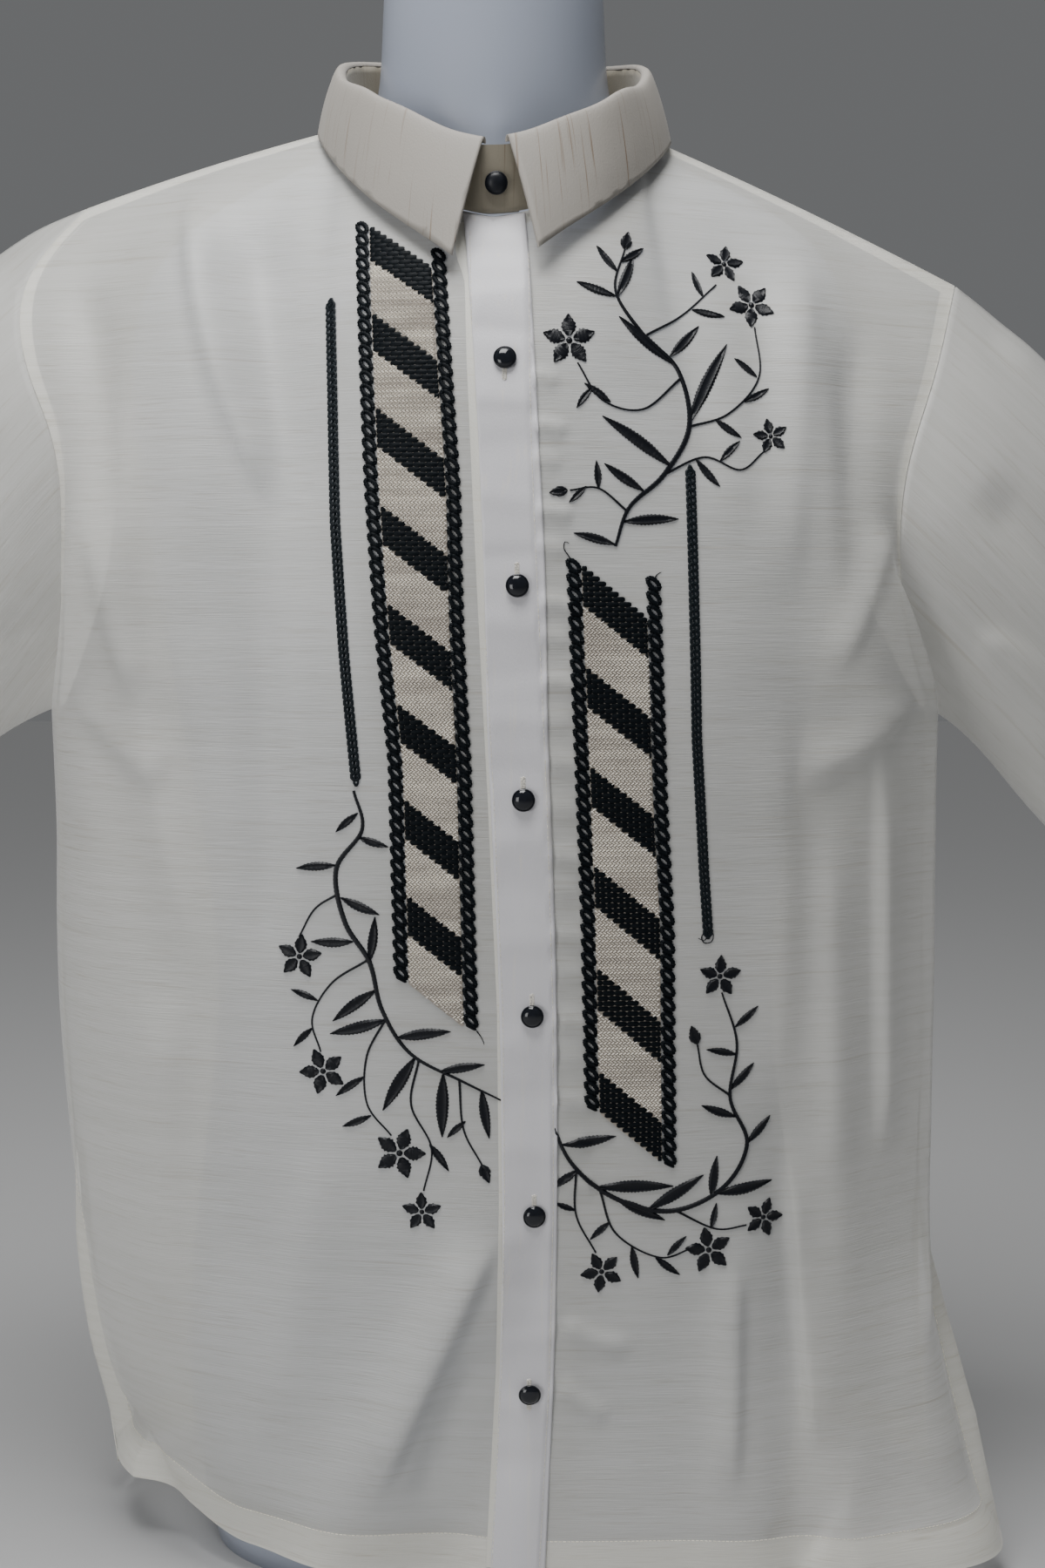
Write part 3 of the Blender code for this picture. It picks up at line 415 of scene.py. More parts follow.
CREASES = {
    "front_right": FRONT_CREASES,
    "front_left": FRONT_CREASES,
    "back": (
        (-60, 700, -70, 520, -80, 330, 16, 3, 0.3), (50, 690, 66, 480, 76, 250, 18, 3.2, -0.3),
        (5, 420, 0, 250, -10, 80, 14, 3, 0.2), (-150, 620, -140, 500, -150, 360, 14, -3, 0.0),
        (150, 600, 140, 470, 150, 330, 13, -2.8, 0.0), (120, 300, 128, 200, 130, 80, 10, 3.6, 0.4),
        (-100, 260, -112, 160, -120, 60, 11, 3.4, -0.4),
        (-205, 470, -175, 450, -145, 450, 12, 3, 0.0), (205, 470, 175, 455, 150, 460, 12, 3, 0.0),
    ),
    "sleeve_right": (
        (-250, 690, -300, 640, -350, 580, 12, 3, 0.3),
        (-245, 600, -300, 560, -350, 500, 14, -3.4, 0.0),
        (-245, 500, -285, 500, -330, 470, 10, 3, 0.4),
    ),
    "sleeve_left": (
        (262, 660, 310, 620, 360, 560, 11, 3.2, -0.3),
        (245, 580, 290, 540, 340, 480, 14, -3.6, 0.0),
        (245, 500, 280, 485, 320, 440, 10, 3.2, 0.4),
    ),
}
HEM_RINGS = 6  # edges across a hem
SEAM_RINGS = 3  # edges across a seam's turning
FOLD_DEPTH = 0.0006  # how far under the cloth its turned edge lies
TURNING = 0.007  # width of the edge that passes through a seam
ARMHOLE = (0.45, 0.70)  # heights between which the back is seamed to a sleeve instead
FLAT = {  # width and length of each piece's cut with its turnings, and its area
    "front_right": (0.345, 0.82, 0.235),
    "front_left": (0.315, 0.81, 0.2125),
    "back": (0.64, 0.83, 0.455),
    "sleeve_right": (0.47, 0.27, 0.103),
    "sleeve_left": (0.47, 0.27, 0.103),
}


def tree_of(*parts):
    """A tree to look up the places of several bmeshes in."""
    points, faces = [], []
    for part in parts:
        part.verts.index_update()
        faces += [[len(points) + v.index for v in face.verts] for face in part.faces]
        points += [vertex.co.copy() for vertex in part.verts]
    return BVHTree.FromPolygons(points, faces)


def turnings(bm, started, next_piece, width, depth):
    """Adds the edge of cloth that passes through a seam and lies under the next piece."""
    started = set(started)
    edges = [edge for edge in bm.edges if edge.is_boundary and started.issuperset(edge.verts)]
    outward = {}
    for edge in edges:
        inner = edge.link_faces[0].calc_center_median()
        middle = (edge.verts[0].co + edge.verts[1].co) / 2
        along = (edge.verts[1].co - edge.verts[0].co).normalized()
        away = middle - inner
        away = (away - along * away.dot(along)).normalized()
        for vertex in edge.verts:
            outward[vertex.index] = outward.get(vertex.index, Vector()) + away
    normals = {vertex.index: vertex.normal.copy() for vertex in bm.verts}
    old = {vertex.index: vertex.co.copy() for edge in edges for vertex in edge.verts}
    for share in (0.25, 1.0):
        made = bmesh.ops.extrude_edge_only(bm, edges=edges)["geom"]
        edges = [item for item in made if isinstance(item, bmesh.types.BMEdge)]
        edges = [edge for edge in edges if edge.is_boundary]
        for vertex in {vertex for edge in edges for vertex in edge.verts}:
            near = min(old, key=lambda index: (old[index] - vertex.co).length_squared)
            away = outward[near].normalized()
            vertex.co = old[near] + away * width * share - normals[near] * depth
            place, normal, _, _ = next_piece.find_nearest(vertex.co)
            vertex.co = place - normal * depth
        bm.verts.index_update()
    bm.normal_update()


VENT_RINGS = 18  # edges over which a vent's turned edge stands away from the side
EDGE_SHARE = 0.45  # the share of them that bends outwards. The trough lies past it
VENTS = {  # heights, how far the edge goes out and forward and the trough in, in millimetres
    "front_right": (
        (20, 10.0, 8.0, 4.0), (45, 9.0, 8.5, 5.0), (75, 7.5, 8.5, 6.0), (110, 6.0, 7.5, 6.0),
        (168, 4.0, 6.0, 4.5), (198, 1.5, 2.5, 1.0), (218, 0.0, 0.0, 0.0),
    ),
    "front_left": (
        (20, -1.5, 6.0, 6.0), (51, 2.0, 7.0, 6.5), (80, 5.4, 7.0, 6.0), (111, 5.0, 6.0, 5.0),
        (144, 3.2, 4.0, 3.0), (169, 1.0, 1.5, 1.0), (188, 0.0, 0.0, 0.0),
    ),
}
CORNER_LIFT = 0.0165  # how far the right front's corner curls up


def spread_vent(bm, piece, free):
    """Turns a front's edge at its vent outwards, past a soft trough, so that its hem shows."""
    heights, outs, forwards, inwards = np.array(VENTS[piece]).T / 1000
    ring = rings_from(bm, [v for v in free if abs(v.co.x) > SIDE_X], VENT_RINGS)
    outward = -1 if piece == "front_right" else 1
    for vertex in bm.verts:
        share = ring[vertex.index] / VENT_RINGS
        if share == 1.0:
            continue
        z = vertex.co.z
        edge = smooth_step(1 - share / EDGE_SHARE)
        trough = smooth_step(share / EDGE_SHARE) * smooth_step((1 - share) / (1 - EDGE_SHARE))
        out = np.interp(z, heights, outs) * edge - np.interp(z, heights, inwards) * trough
        vertex.co.x += outward * float(out)
        vertex.co.y -= float(np.interp(z, heights, forwards)) * (1 - share) ** 1.5
    if piece == "front_right":
        for vertex in bm.verts:
            x, _, z = vertex.co
            curl = smooth_step((-0.130 - x) / 0.060) * smooth_step((0.115 - z) / 0.085)
            vertex.co.z += CORNER_LIFT * float(curl)
    bm.normal_update()


body_cloth = sheer_cloth("sheer_body_cloth", 0.0, BODY_TONES)
turned_cloth = sheer_cloth("turned_double_cloth", 0.0, DOUBLE_TONES, cover=0.92)
# The sleeves' cloth is a darker copy of the body's: painted shade for the dark seen through it.
sleeve_cloth = {
    "right": sheer_cloth("sheer_right_sleeve_painted_shade", math.radians(48), SLEEVE_TONES_PAINTED_SHADE),
    "left": sheer_cloth("sheer_left_sleeve_painted_shade", math.radians(-44), SLEEVE_TONES_PAINTED_SHADE),
}
fine = {}
hem_stitches = []
for piece, creases in CREASES.items():
    cloth = outer_side(piece, 2 if piece == "back" else 3)
    edge_vertices = [vertex for vertex in cloth.verts if vertex.is_boundary]
    free = [vertex for vertex in edge_vertices if is_free(vertex, piece)]
    loose = set(free)
    if piece.startswith("front"):  # its edge under the placket
        loose |= {v for v in edge_vertices if abs(v.co.x) < 0.03 and v.co.z < 0.70}
    sewn = [vertex for vertex in edge_vertices if vertex not in loose]
    fade = smooth_step(rings_from(cloth, sewn, FADE_RINGS) / FADE_RINGS)
    points = coordinates(cloth)
    move(cloth, (crease_depth(points, creases) + unevenness(points)) * fade)
    if piece in VENTS:
        spread_vent(cloth, piece, free)
    off_form(cloth, OFF_FORM)
    fine[piece] = cloth.copy()
    rings = HEM_RINGS // 2 if piece == "back" else HEM_RINGS
    for edge in turned_under(cloth, free, rings, FOLD_DEPTH):
        middle = (edge.verts[0].co + edge.verts[1].co) / 2
        normal = (edge.verts[0].normal + edge.verts[1].normal).normalized()
        hem_stitches.append((middle, edge.verts[1].co - edge.verts[0].co, normal))
    if piece.startswith("front"):
        turned_under(cloth, sewn, SEAM_RINGS, FOLD_DEPTH * 1.5)
    elif piece == "back":
        cloth.verts.index_update()
        fronts = tree_of(fine["front_right"], fine["front_left"])
        sides = [v for v in sewn if v.co.z < ARMHOLE[0] or v.co.z > ARMHOLE[1]]
        turnings(cloth, sides, fronts, TURNING, 0.0016)
    else:
        cloth.verts.index_update()
        body = tree_of(fine["front_right"], fine["front_left"], fine["back"])
        turnings(cloth, sewn, body, TURNING, 0.0018)
    side = "right" if piece.endswith("right") else "left"
    material = sleeve_cloth[side] if piece.startswith("sleeve") else body_cloth
    made = placed(piece + "_cloth", cloth, material, "sheer_cloth", piece)
    made.data.materials.append(turned_cloth)
    width, length, area = FLAT[piece]


# ---- Hem stitching ----
# The hem, the vents and the cuffs are turned under and run down by machine in cream thread.
# Each stitch is a short hard ridge that the next one almost meets.


def shape_of(bm):
    """The points and faces of a small shape that is set out many times."""
    bm.verts.index_update()
    return coordinates(bm), np.array([[v.index for v in face.verts] for face in bm.faces])


def rib(half_length, half_width, height):
    """A short low ridge with narrowed ends, for one stitch. It lies along X."""
    ridge = bmesh.new()
    bmesh.ops.create_grid(ridge, x_segments=3, y_segments=2, size=1.0)
    for vertex in ridge.verts:
        along, across, _ = vertex.co
        share, wide, tall = (1.0, 0.5, 0.2) if abs(along) > 0.5 else (0.7, 1.0, 1.0)
        vertex.co.x = math.copysign(share, along) * half_length
        vertex.co.y = across * half_width * wide
        vertex.co.z = (1 - abs(across)) * height * tall
    return shape_of(ridge)


def scattered(name, shape, frames, material, slot, *nodes):
    """One piece of many copies of a small shape, each in its own frame."""
    points, faces = shape
    frames = np.array([np.array(place) for place in frames])
    moved = np.einsum("nij,kj->nki", frames[:, :3, :3], points) + frames[:, None, :3, 3]
    rows = faces[None] + np.arange(len(frames))[:, None, None] * len(points)
    mesh = bpy.data.meshes.new(name)
    mesh.from_pydata(moved.reshape(-1, 3), [], rows.reshape(-1, faces.shape[1]).tolist())
    bm = bmesh.new()
    bm.from_mesh(mesh)
    bpy.data.meshes.remove(mesh)
    return placed(name, bm, material, slot, *nodes)


def frame_at(place, first, normal):
    """A frame at a place, its X along the first direction and its Z along the normal."""
    first = (first - normal * first.dot(normal)).normalized()
    second = normal.cross(first)
    return Matrix.Translation(place) @ Matrix((first, second, normal)).transposed().to_4x4()


def sewing_thread(name, color, roughness, across, sheen=0.2, gloss=0.5):
    """Twisted thread with a dull gloss. Its fibres run along the two lesser scales."""
    thread = Finish(name, color, roughness, Sheen_Weight=sheen, Specular_IOR_Level=gloss)
    fibres = thread.noise(across, 2.0)
    shaded, lit = [value * 0.72 for value in color], [min(value * 1.2, 1.0) for value in color]
    thread.colored(fibres, (0.3, shaded), (0.7, lit))
    thread.relief(fibres, 0.5, 0.0003)
    return thread.material


cream_thread = sewing_thread("cream_sewing_thread", (0.80, 0.76, 0.64), 0.5, (900, 900, 900))
HEM_STITCH = rib(0.0010, 0.00022, 0.00022)
HEM_PITCH = 0.0026  # from one such stitch to the next
frames = []
for middle, along, normal in hem_stitches:
    size = Matrix.Scale(along.length / HEM_PITCH, 4, (1, 0, 0))
    frames.append(frame_at(middle + normal * 0.0001, along, normal) @ size)
scattered("hem_stitching", HEM_STITCH, frames, cream_thread, "stripe_thread")


# ---- Placket and button stand ----
# Down the front runs a doubled strip of close white cloth, 32 mm wide, that carries the
# buttonholes. The button stand under it is the other front's folded edge.

PLACKET_LINE = (  # height and middle
    (0.715, 0.0032), (0.636, 0.0055), (0.525, 0.0106), (0.422, 0.0157), (0.318, 0.0200),
    (0.220, 0.0208), (0.132, 0.0191), (0.055, 0.0153), (0.018, 0.0135),
)


def placket_middle(height):
    heights, middles = zip(*reversed(PLACKET_LINE))
    return float(np.interp(height, heights, middles))


DRAWN_IN = ((0.22, 0.32, 0.43, 0.59, 0.68), (0.0044, 0.0040, 0.0028, 0.0022, 0.0))


def drawn_in(height):
    """How far the placket's left edge is drawn in towards the buttons."""
    return float(np.interp(height, *DRAWN_IN))


def laid(tree, x, z, turn=0.0, lift=0.0):
    """A frame on the cloth straight behind a place across and up. Its X is level when the
    turn is 0, and its Z faces out. What is set in it keeps its size as seen from the front."""
    place, normal, _, _ = tree.ray_cast(Vector((x, -0.3, z)), Vector((0.0, 1.0, 0.0)))
    if place is None:
        return None
    if normal.y > 0:
        normal.negate()
    level = Vector((0.0, 0.0, 1.0)).cross(normal).normalized()
    upward = normal.cross(level)
    stretch = Matrix.Diagonal((1 / max(level.x, 0.6), 1 / max(upward.z, 0.6), 1.0, 1.0))
    return frame_at(place + normal * lift, level, normal) @ stretch @ Matrix.Rotation(turn, 4, "Z")


def close_cloth(name, color, roughness, slub, slub_scale, round_neck=False, sheen=0.3):
    """Doubled cloth with interlining, which nothing shows through. Its slubs are brown."""
    cloth = Finish(name, color, roughness, Sheen_Weight=sheen)
    source = cloth.place
    if round_neck:  # its slubs are set out by the angle round the neck
        centred = cloth.add("Mapping", [("Vector", source)], Location=(0.0, 0.014, 0.0))
        split = cloth.add("SeparateXYZ", [("Vector", centred.outputs["Vector"])]).outputs
        turn = cloth.add("Math", [(0, split["Y"]), (1, split["X"])], operation="ARCTAN2")
        joined = cloth.add("CombineXYZ", [("X", turn.outputs["Value"]), ("Z", split["Z"])])
        source = joined.outputs["Vector"]
    cloth.colored(cloth.noise(slub_scale, 3.0, source), (0.60, color), (0.74, slub))
    cloth.relief(cloth.noise((1500.0, 900.0, 900.0), 1.0), 0.3, 0.0003)
    return cloth.material


PLACKET_TOP = 0.7115
HALF_WIDTH = 0.016
EDGE_EASE = 0.0011  # how far the left edge is pressed back against the cloth
PLACKET_CREASES = []
for up, rise, width, depth, skew in (  # where the buttons pull the placket's layers down
    (690, 1, 6, -0.6, 0.0), (668, -2, 8, 0.7, 0.3), (650, 2, 5, -0.5, 0.0), (616, 1, 7, 0.8, -0.3),
    (594, -2, 9, -0.7, 0.2), (568, 3, 6, 0.5, 0.0), (541, -1, 5, -0.6, 0.3), (508, 2, 7, 0.8, 0.0),
    (484, -3, 8, -0.6, -0.3), (462, 1, 6, 0.6, 0.2), (437, 2, 5, -0.6, 0.0), (404, -2, 7, 0.8, 0.3),
    (379, 3, 9, -0.7, 0.0), (352, -1, 6, 0.6, -0.2), (300, 2, 7, 0.8, 0.0), (276, -2, 8, -0.7, 0.3),
    (248, 3, 6, 0.6, 0.0), (202, -1, 7, 0.8, -0.3), (176, 2, 8, -0.7, 0.0), (150, -2, 5, 0.5, 0.2),
    (112, 2, 7, 0.7, 0.0), (84, -3, 9, -0.8, 0.2),
):
    middle = 1000 * placket_middle(up / 1000)
    places = (middle - 21, up + rise, middle, up, middle + 21, up - rise)
    PLACKET_CREASES.append((*places, width, depth, skew))
placket = subdivided(merged("placket"), 3)
points = coordinates(placket)
lift = crease_depth(points, FRONT_CREASES + PLACKET_CREASES) + unevenness(points)
lift *= smooth_step((PLACKET_TOP - points[:, 2]) / 0.018)
for vertex, distance in zip(placket.verts, lift):
    beside = (vertex.co.x - placket_middle(vertex.co.z)) / HALF_WIDTH
    vertex.co.x -= drawn_in(vertex.co.z) * float(smooth_step(beside))
    vertex.co.y -= float(distance) - EDGE_EASE * float(smooth_step((beside - 0.72) / 0.28))
placket.normal_update()
placket_tree = tree_of(placket)
cloth_tree = tree_of(fine["front_right"], fine["front_left"])
satin = close_cloth(
    "placket_satin", (0.665, 0.655, 0.68), 0.42, (0.705, 0.685, 0.67), (300.0, 300.0, 8.0)
)
placed("button_placket", placket, satin, "doubled_cloth", "placket")


def strip_through(lines):
    """A strip of cloth through lines of places, each line lower than the one before."""
    strip = bmesh.new()
    bmesh.ops.create_grid(
        strip, x_segments=len(lines) - 1, y_segments=len(lines[0]) - 1, size=1.0
    )
    places = [place for column in zip(*lines) for place in column]
    for vertex, place in zip(strip.verts, places):
        vertex.co = place
    strip.normal_update()
    return strip


lines = []
for height in np.linspace(0.706, 0.026, 170):
    edge = placket_middle(height) - HALF_WIDTH - 0.0005
    shows = 0.0008 + 0.0044 * smooth_step((height - 0.672) / 0.020)  # more of it at the throat
    across = (edge - shows, edge - shows + 0.0006, edge + 0.004, edge + 0.010)
    lines.append([laid(cloth_tree, x, height, lift=0.00025).translation for x in across])
stand_cloth = close_cloth(
    "button_stand_cloth", (0.70, 0.69, 0.63), 0.5, (0.62, 0.57, 0.46), (9.0, 9.0, 600.0)
)
placed("button_stand", strip_through(lines), stand_cloth, "doubled_cloth")

SEAM_IN = 0.0143  # from the placket's middle to each row of stitches
SEAM_PITCH = 0.0029
frames = []
for side in (-1, 1):
    for height in np.arange(0.024, 0.700, SEAM_PITCH):
        x = placket_middle(height) + side * SEAM_IN - (side > 0) * drawn_in(height)
        slope = math.atan2(0.01, placket_middle(height + 0.01) - placket_middle(height))
        spot = laid(placket_tree, x, height, slope, -0.00005)
        if spot:
            frames.append(spot)
scattered(
    "placket_stitching", rib(0.00125, 0.0002, 0.0002), frames, cream_thread, "stripe_thread"
)


# ---- Collar ----
# A shirt collar cut across the cloth, so that its slubs stand up and down. The stand
# buttons at the throat, and the stiffened leaf folds over it into two short points.

NECK_SLUBS = (60.0, 0.0, 14.0)
leaf_cloth = close_cloth(
    "collar_cloth", (0.36, 0.335, 0.30), 0.6, (0.20, 0.14, 0.09), NECK_SLUBS, True, sheen=0.1
)
# The stand's cloth is the leaf's cloth made darker: painted shade where the leaf shadows it.
stand_painted_shade = close_cloth(
    "collar_stand_painted_shade", (0.26, 0.232, 0.175), 0.6, (0.18, 0.14, 0.09), NECK_SLUBS, True
)
leaf = subdivided(merged("collar_leaf"), 2)
FRONT_ENDS = {  # a side's foot and top heights, how far each moves across, and the point up
    -1: (0.683, 0.745, -0.0063, 0.0037, 0.0035),
    1: (0.692, 0.745, -0.0014, -0.0077, -0.0030),
}
FOLD_RISE = {-1: 0.0055, 1: 0.0060}  # how much straighter the fold runs down to the front
for vertex in leaf.verts:
    x, y, z = vertex.co
    side, aside = (1 if x > 0 else -1), abs(x)
    foot, top, at_foot, at_top, up = FRONT_ENDS[side]
    near = float(smooth_step((0.058 - aside) / 0.048)) if y < -0.03 else 0.0
    height = min(max((z - foot) / (top - foot), 0.0), 1.15)
    vertex.co.x += near * (at_foot + (at_top - at_foot) * height)
    vertex.co.z += near * up * (1 - min(height, 1.0))
    fold = 0.739 + 0.58 * aside  # the fold's height there
    rise = smooth_step((aside - 0.020) / 0.035) * smooth_step((0.080 - aside) / 0.02)
    rise *= smooth_step((-0.015 - y) / 0.03) * smooth_step((z - fold + 0.035) / 0.035)
    vertex.co.z += FOLD_RISE[side] * float(rise)
leaf.normal_update()
leaf_tree = BVHTree.FromBMesh(leaf)
placed("collar_fall", leaf, leaf_cloth, "doubled_cloth", "collar_leaf")
neckband = subdivided(merged("collar_stand"), 2)
for vertex in neckband.verts:  # its upper edge reaches up into the fold of the leaf
    place, _, _, gap = leaf_tree.ray_cast(vertex.co, Vector((0.0, 0.0, 1.0)), 0.004)
    if place is not None and vertex.normal.z > 0.3 and vertex.co.y > -0.055:
        vertex.co.z += gap - 0.0001
neckband.normal_update()
placed("collar_band", neckband, stand_painted_shade, "doubled_cloth", "collar_stand")


# ---- Buttons ----
# Seven domed buttons, 18 ligne, moulded in black resin and polished, with a fine groove
# inside the rim. Each is sewn on over a short thread shank.

RIM = 0.0057
OUTLINE = (  # distance from the middle and height above the back
    (0.0, 0.0), (0.0046, 0.0), (0.0054, 0.0004), (RIM, 0.0011), (0.0055, 0.0016),
    (0.0052, 0.0018), (0.0050, 0.0016), (0.0048, 0.0018), (0.0042, 0.0024), (0.0033, 0.0029),
    (0.0022, 0.0032), (0.0011, 0.0034), (0.0, 0.0034),
)


def resin(name, roughness, coat):
    """Black casting resin, with the faintest cloudiness in it."""
    cast = Finish(
        name, (0.006, 0.007, 0.010), roughness,
        Specular_IOR_Level=0.3, Coat_Weight=coat, Coat_Roughness=0.05,
    )
    clouds = cast.noise(420.0, 3.0)
    cast.colored(clouds, (0.0, (0.003, 0.004, 0.006)), (1.0, (0.010, 0.012, 0.018)))
    cast.drives(cast.spread(clouds, roughness * 0.8, roughness * 1.3), "Roughness")
    return cast.material


def facing_of(node):
    """The middle of a button's back and the way that it faces."""
    solid = merged(node)
    back = max(solid.faces, key=lambda face: face.calc_area())
    total = Vector()
    for face in solid.faces:
        if face.normal.dot(back.normal) > 0.999:
            total += face.normal * face.calc_area()
    middle = sum((vertex.co for vertex in solid.verts), Vector()) / len(solid.verts)
    out = -total.normalized()
    low = min((vertex.co - middle).dot(out) for vertex in solid.verts)
    return middle + out * low, out


polished = resin("polished_black_resin", 0.10, 0.4)
matt = resin("worn_black_resin", 0.38, 0.0)
for number in (1, 2, 3, 4, 5, 6, "collar"):
    node = f"button_{number}"
    seat, out = facing_of(node)
    button = bmesh.new()
    ring = [button.verts.new((radius, 0.0, height)) for radius, height in OUTLINE]
    edges = [button.edges.new(pair) for pair in zip(ring, ring[1:])]
    bmesh.ops.spin(
        button, geom=ring + edges, axis=(0, 0, 1), cent=(0, 0, 0), angle=2 * math.pi, steps=40,
        use_merge=True,
    )
    bmesh.ops.remove_doubles(button, verts=button.verts, dist=MERGE)
    if number == 6:  # it hangs a little askew on its shank
        out = (out + Vector((0.10, 0.0, -0.16))).normalized()
    side = Vector((0.0, 0.0, 1.0)).cross(out).normalized()
    bmesh.ops.transform(button, matrix=frame_at(seat, side, out), verts=button.verts)
    bmesh.ops.recalc_face_normals(button, faces=button.faces)
    material = matt if number == "collar" else polished
    placed(f"sewn_button_{number}", button, material, "black_gloss", node)


# ---- Buttonholes ----
# Each is worked upright in the placket: two close rows of cream stitches with a bar across
# each end. The button covers most of it.

# how far each shows above its button. The first shows below it instead
SHOWS = {1: -0.0052, 2: 0.0050, 3: 0.0052, 4: 0.0050, 5: 0.0048, 6: 0.0012}
HOLE_STEPS = 26
HOLE_PITCH = 0.0006
HALF_HOLE = 0.00062  # half the width of its stitches
frames = []
for number, shows in SHOWS.items():
    low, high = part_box(f"button_{number}")
    middle = (low.x + high.x) / 2
    for step in range(HOLE_STEPS):
        height = high.z + shows - HOLE_PITCH * step
        if shows < 0:
            height = low.z + shows + HOLE_PITCH * step
        for side in (-1, 1):
            x = middle - 0.0002 + side * HALF_HOLE
            frames.append(laid(placket_tree, x, height, 0.12 * side, 0.00002))
        if step in (0, HOLE_STEPS - 1):
            for shift in (-0.0004, 0.0, 0.0004):
                frames.append(laid(placket_tree, middle, height + shift, 0.0, 0.0001))
frames = [spot for spot in frames if spot]
hole_thread = sewing_thread("buttonhole_thread", (0.78, 0.75, 0.68), 0.5, (900, 900, 2600))
scattered(
    "buttonholes", rib(HALF_HOLE, 0.00028, 0.00035), frames, hole_thread, "stripe_thread"
)


# ---- Embroidered bands ----
# Two long bands of slanting stripes, black brick stitch and cream basket stitch, embroidered
# by machine in thick rayon thread. A chain of black rings is couched down either side.

Band = namedtuple("Band", "node left right starts last")
BANDS = (  # edges, across and up in millimetres, the heights where stripes start, the last row
    Band(
        "embroidered_band_right",
        ((-68.1, 707.0), (-61.2, 573.5), (-56.4, 506.3), (-49.8, 439.7), (-47.7, 333.0)),
        ((-22.8, 691.0), (-14.5, 573.1), (-13.0, 506.3), (-9.6, 439.8), (-6.6, 307.2)),
        (704.3, 658.7, 611.7, 564.2, 516.8, 468.5, 421.9, 374.6, 326.6), 158,
    ),
    Band(
        "embroidered_band_left",
        ((36.1, 543.9), (41.4, 422.0), (43.9, 361.8), (46.4, 265.1)),
        ((81.8, 531.0), (85.8, 421.7), (89.7, 361.3), (91.9, 235.0)),
        (535.6, 486.2, 438.1, 389.9, 338.7, 286.3, 236.0), 108,
    ),
)
ROWS = 20  # rows of brick stitch from one black stripe's start to the next
BLACK_ROWS = 8
SLANT_ROWS = 12  # a stripe comes to the right edge within so many rows
STRIPE_PITCH = 47.0  # from one stripe down to the next, as a rule
ROW = 2.41  # height of a row
SHIFT = 2.95  # how far each row starts to the right of the one above
SHORTEST = 0.9  # a stitch that would be shorter is left out
ROPE = 6.8  # width of a rope
ROPE_PITCH = 2.78  # from one ring to the next, in rows
BASKET = 1.9  # length of a basket stitch
BASKET_ROW = 0.52  # height of a row of them, in rows of brick stitch


def edge_at(edge, z):
    """Where an edge of a band is at a height."""
    across, up = zip(*reversed(edge))
    return float(np.interp(z, up, across))


def row_height(band, row):
    """The height of a row of stitches. Row 0 is where the first stripe starts."""
    starts = band.starts
    stripe = min(max(int(row // ROWS), 0), len(starts) - 2)
    return starts[stripe] + (starts[stripe + 1] - starts[stripe]) * (row / ROWS - stripe)


def on_front(x, z, turn=0.0, lift=0.0):
    """A frame on the fronts at a place in millimetres."""
    return laid(cloth_tree, x / 1000, z / 1000, turn, lift)


def in_band(band, across, row, turn=0.0, lift=0.0):
    """A frame on the cloth, some millimetres in from the left edge of a band's fill."""
    z = row_height(band, row)
    return on_front(edge_at(band.left, z) + ROPE + across, z, turn, lift)


def fill_width(band, row):
    z = row_height(band, row)
    return edge_at(band.right, z) - edge_at(band.left, z) - 2 * ROPE


def oval_ring(long, short, thread, height, around, ribs):
    """An oval ring of thread lying flat, its strand ribbed by the stitches over it."""
    ring = bmesh.new()
    away = 2.0  # from the axis to the middle of the strand's section, whose radius is 1
    upright = Matrix.Rotation(math.pi / 2, 4, "X") @ Matrix.Rotation(math.pi / 2, 4, "Z")
    beside = Matrix.Translation((away, 0.0, 0.0)) @ upright
    bmesh.ops.create_circle(ring, segments=6, radius=1.0, matrix=beside)
    bmesh.ops.spin(
        ring, geom=ring.verts[:] + ring.edges[:], axis=(0, 0, -1), cent=(0, 0, 0),
        angle=2 * math.pi, steps=around, use_merge=True,
    )
    for vertex in ring.verts:
        x, y, up = vertex.co
        turn, side = math.atan2(y, x), math.hypot(x, y) - away
        step = round(turn * around / (2 * math.pi))
        swell = 1.0 + ribs * (1 if step % 2 else -1)
        out = Vector((math.cos(turn) * long, math.sin(turn) * short)).normalized()
        out *= side * thread * swell
        vertex.co.x = math.cos(turn) * short + out.x
        vertex.co.y = math.sin(turn) * long + out.y
        vertex.co.z = (0.5 + 0.5 * up) * height * swell
    bmesh.ops.recalc_face_normals(ring, faces=ring.faces)
    return shape_of(ring)


BLACK_TWIST = (260, 260, 2600)  # the fibres' scale
black_thread = sewing_thread(
    "black_rayon_thread", (0.004, 0.006, 0.008), 0.46, BLACK_TWIST, sheen=0.0, gloss=0.08
)
cream_rayon = sewing_thread("cream_rayon_thread", (0.86, 0.795, 0.715), 0.36, (18, 18, 150))
# A thread underlay lies under the stitches; its brownish darkness is painted shade in the gaps
# between them.
underlay_painted_shade = sewing_thread("darkened_underlay_painted_shade", (0.40, 0.355, 0.30), 0.6, (500, 500, 1800))
rope_ring = oval_ring(0.00350, 0.00176, 0.00114, 0.0013, 28, 0.12)
rope_bridge = rib(0.0029, 0.00085, 0.0011)
RING_TURN = math.radians(45)
TIE_TURN = math.radians(-28)
END_TURN = math.radians(-34)
END_LEFT, END_UP = 3.0, 2.1  # from a ring's middle to the stitch that ties its upper end
brick = rib(SHIFT / 1000 * 1.05, ROW / 2000 * 1.06, 0.0007)
basket = rib(BASKET / 2000, 0.00040, 0.0009)
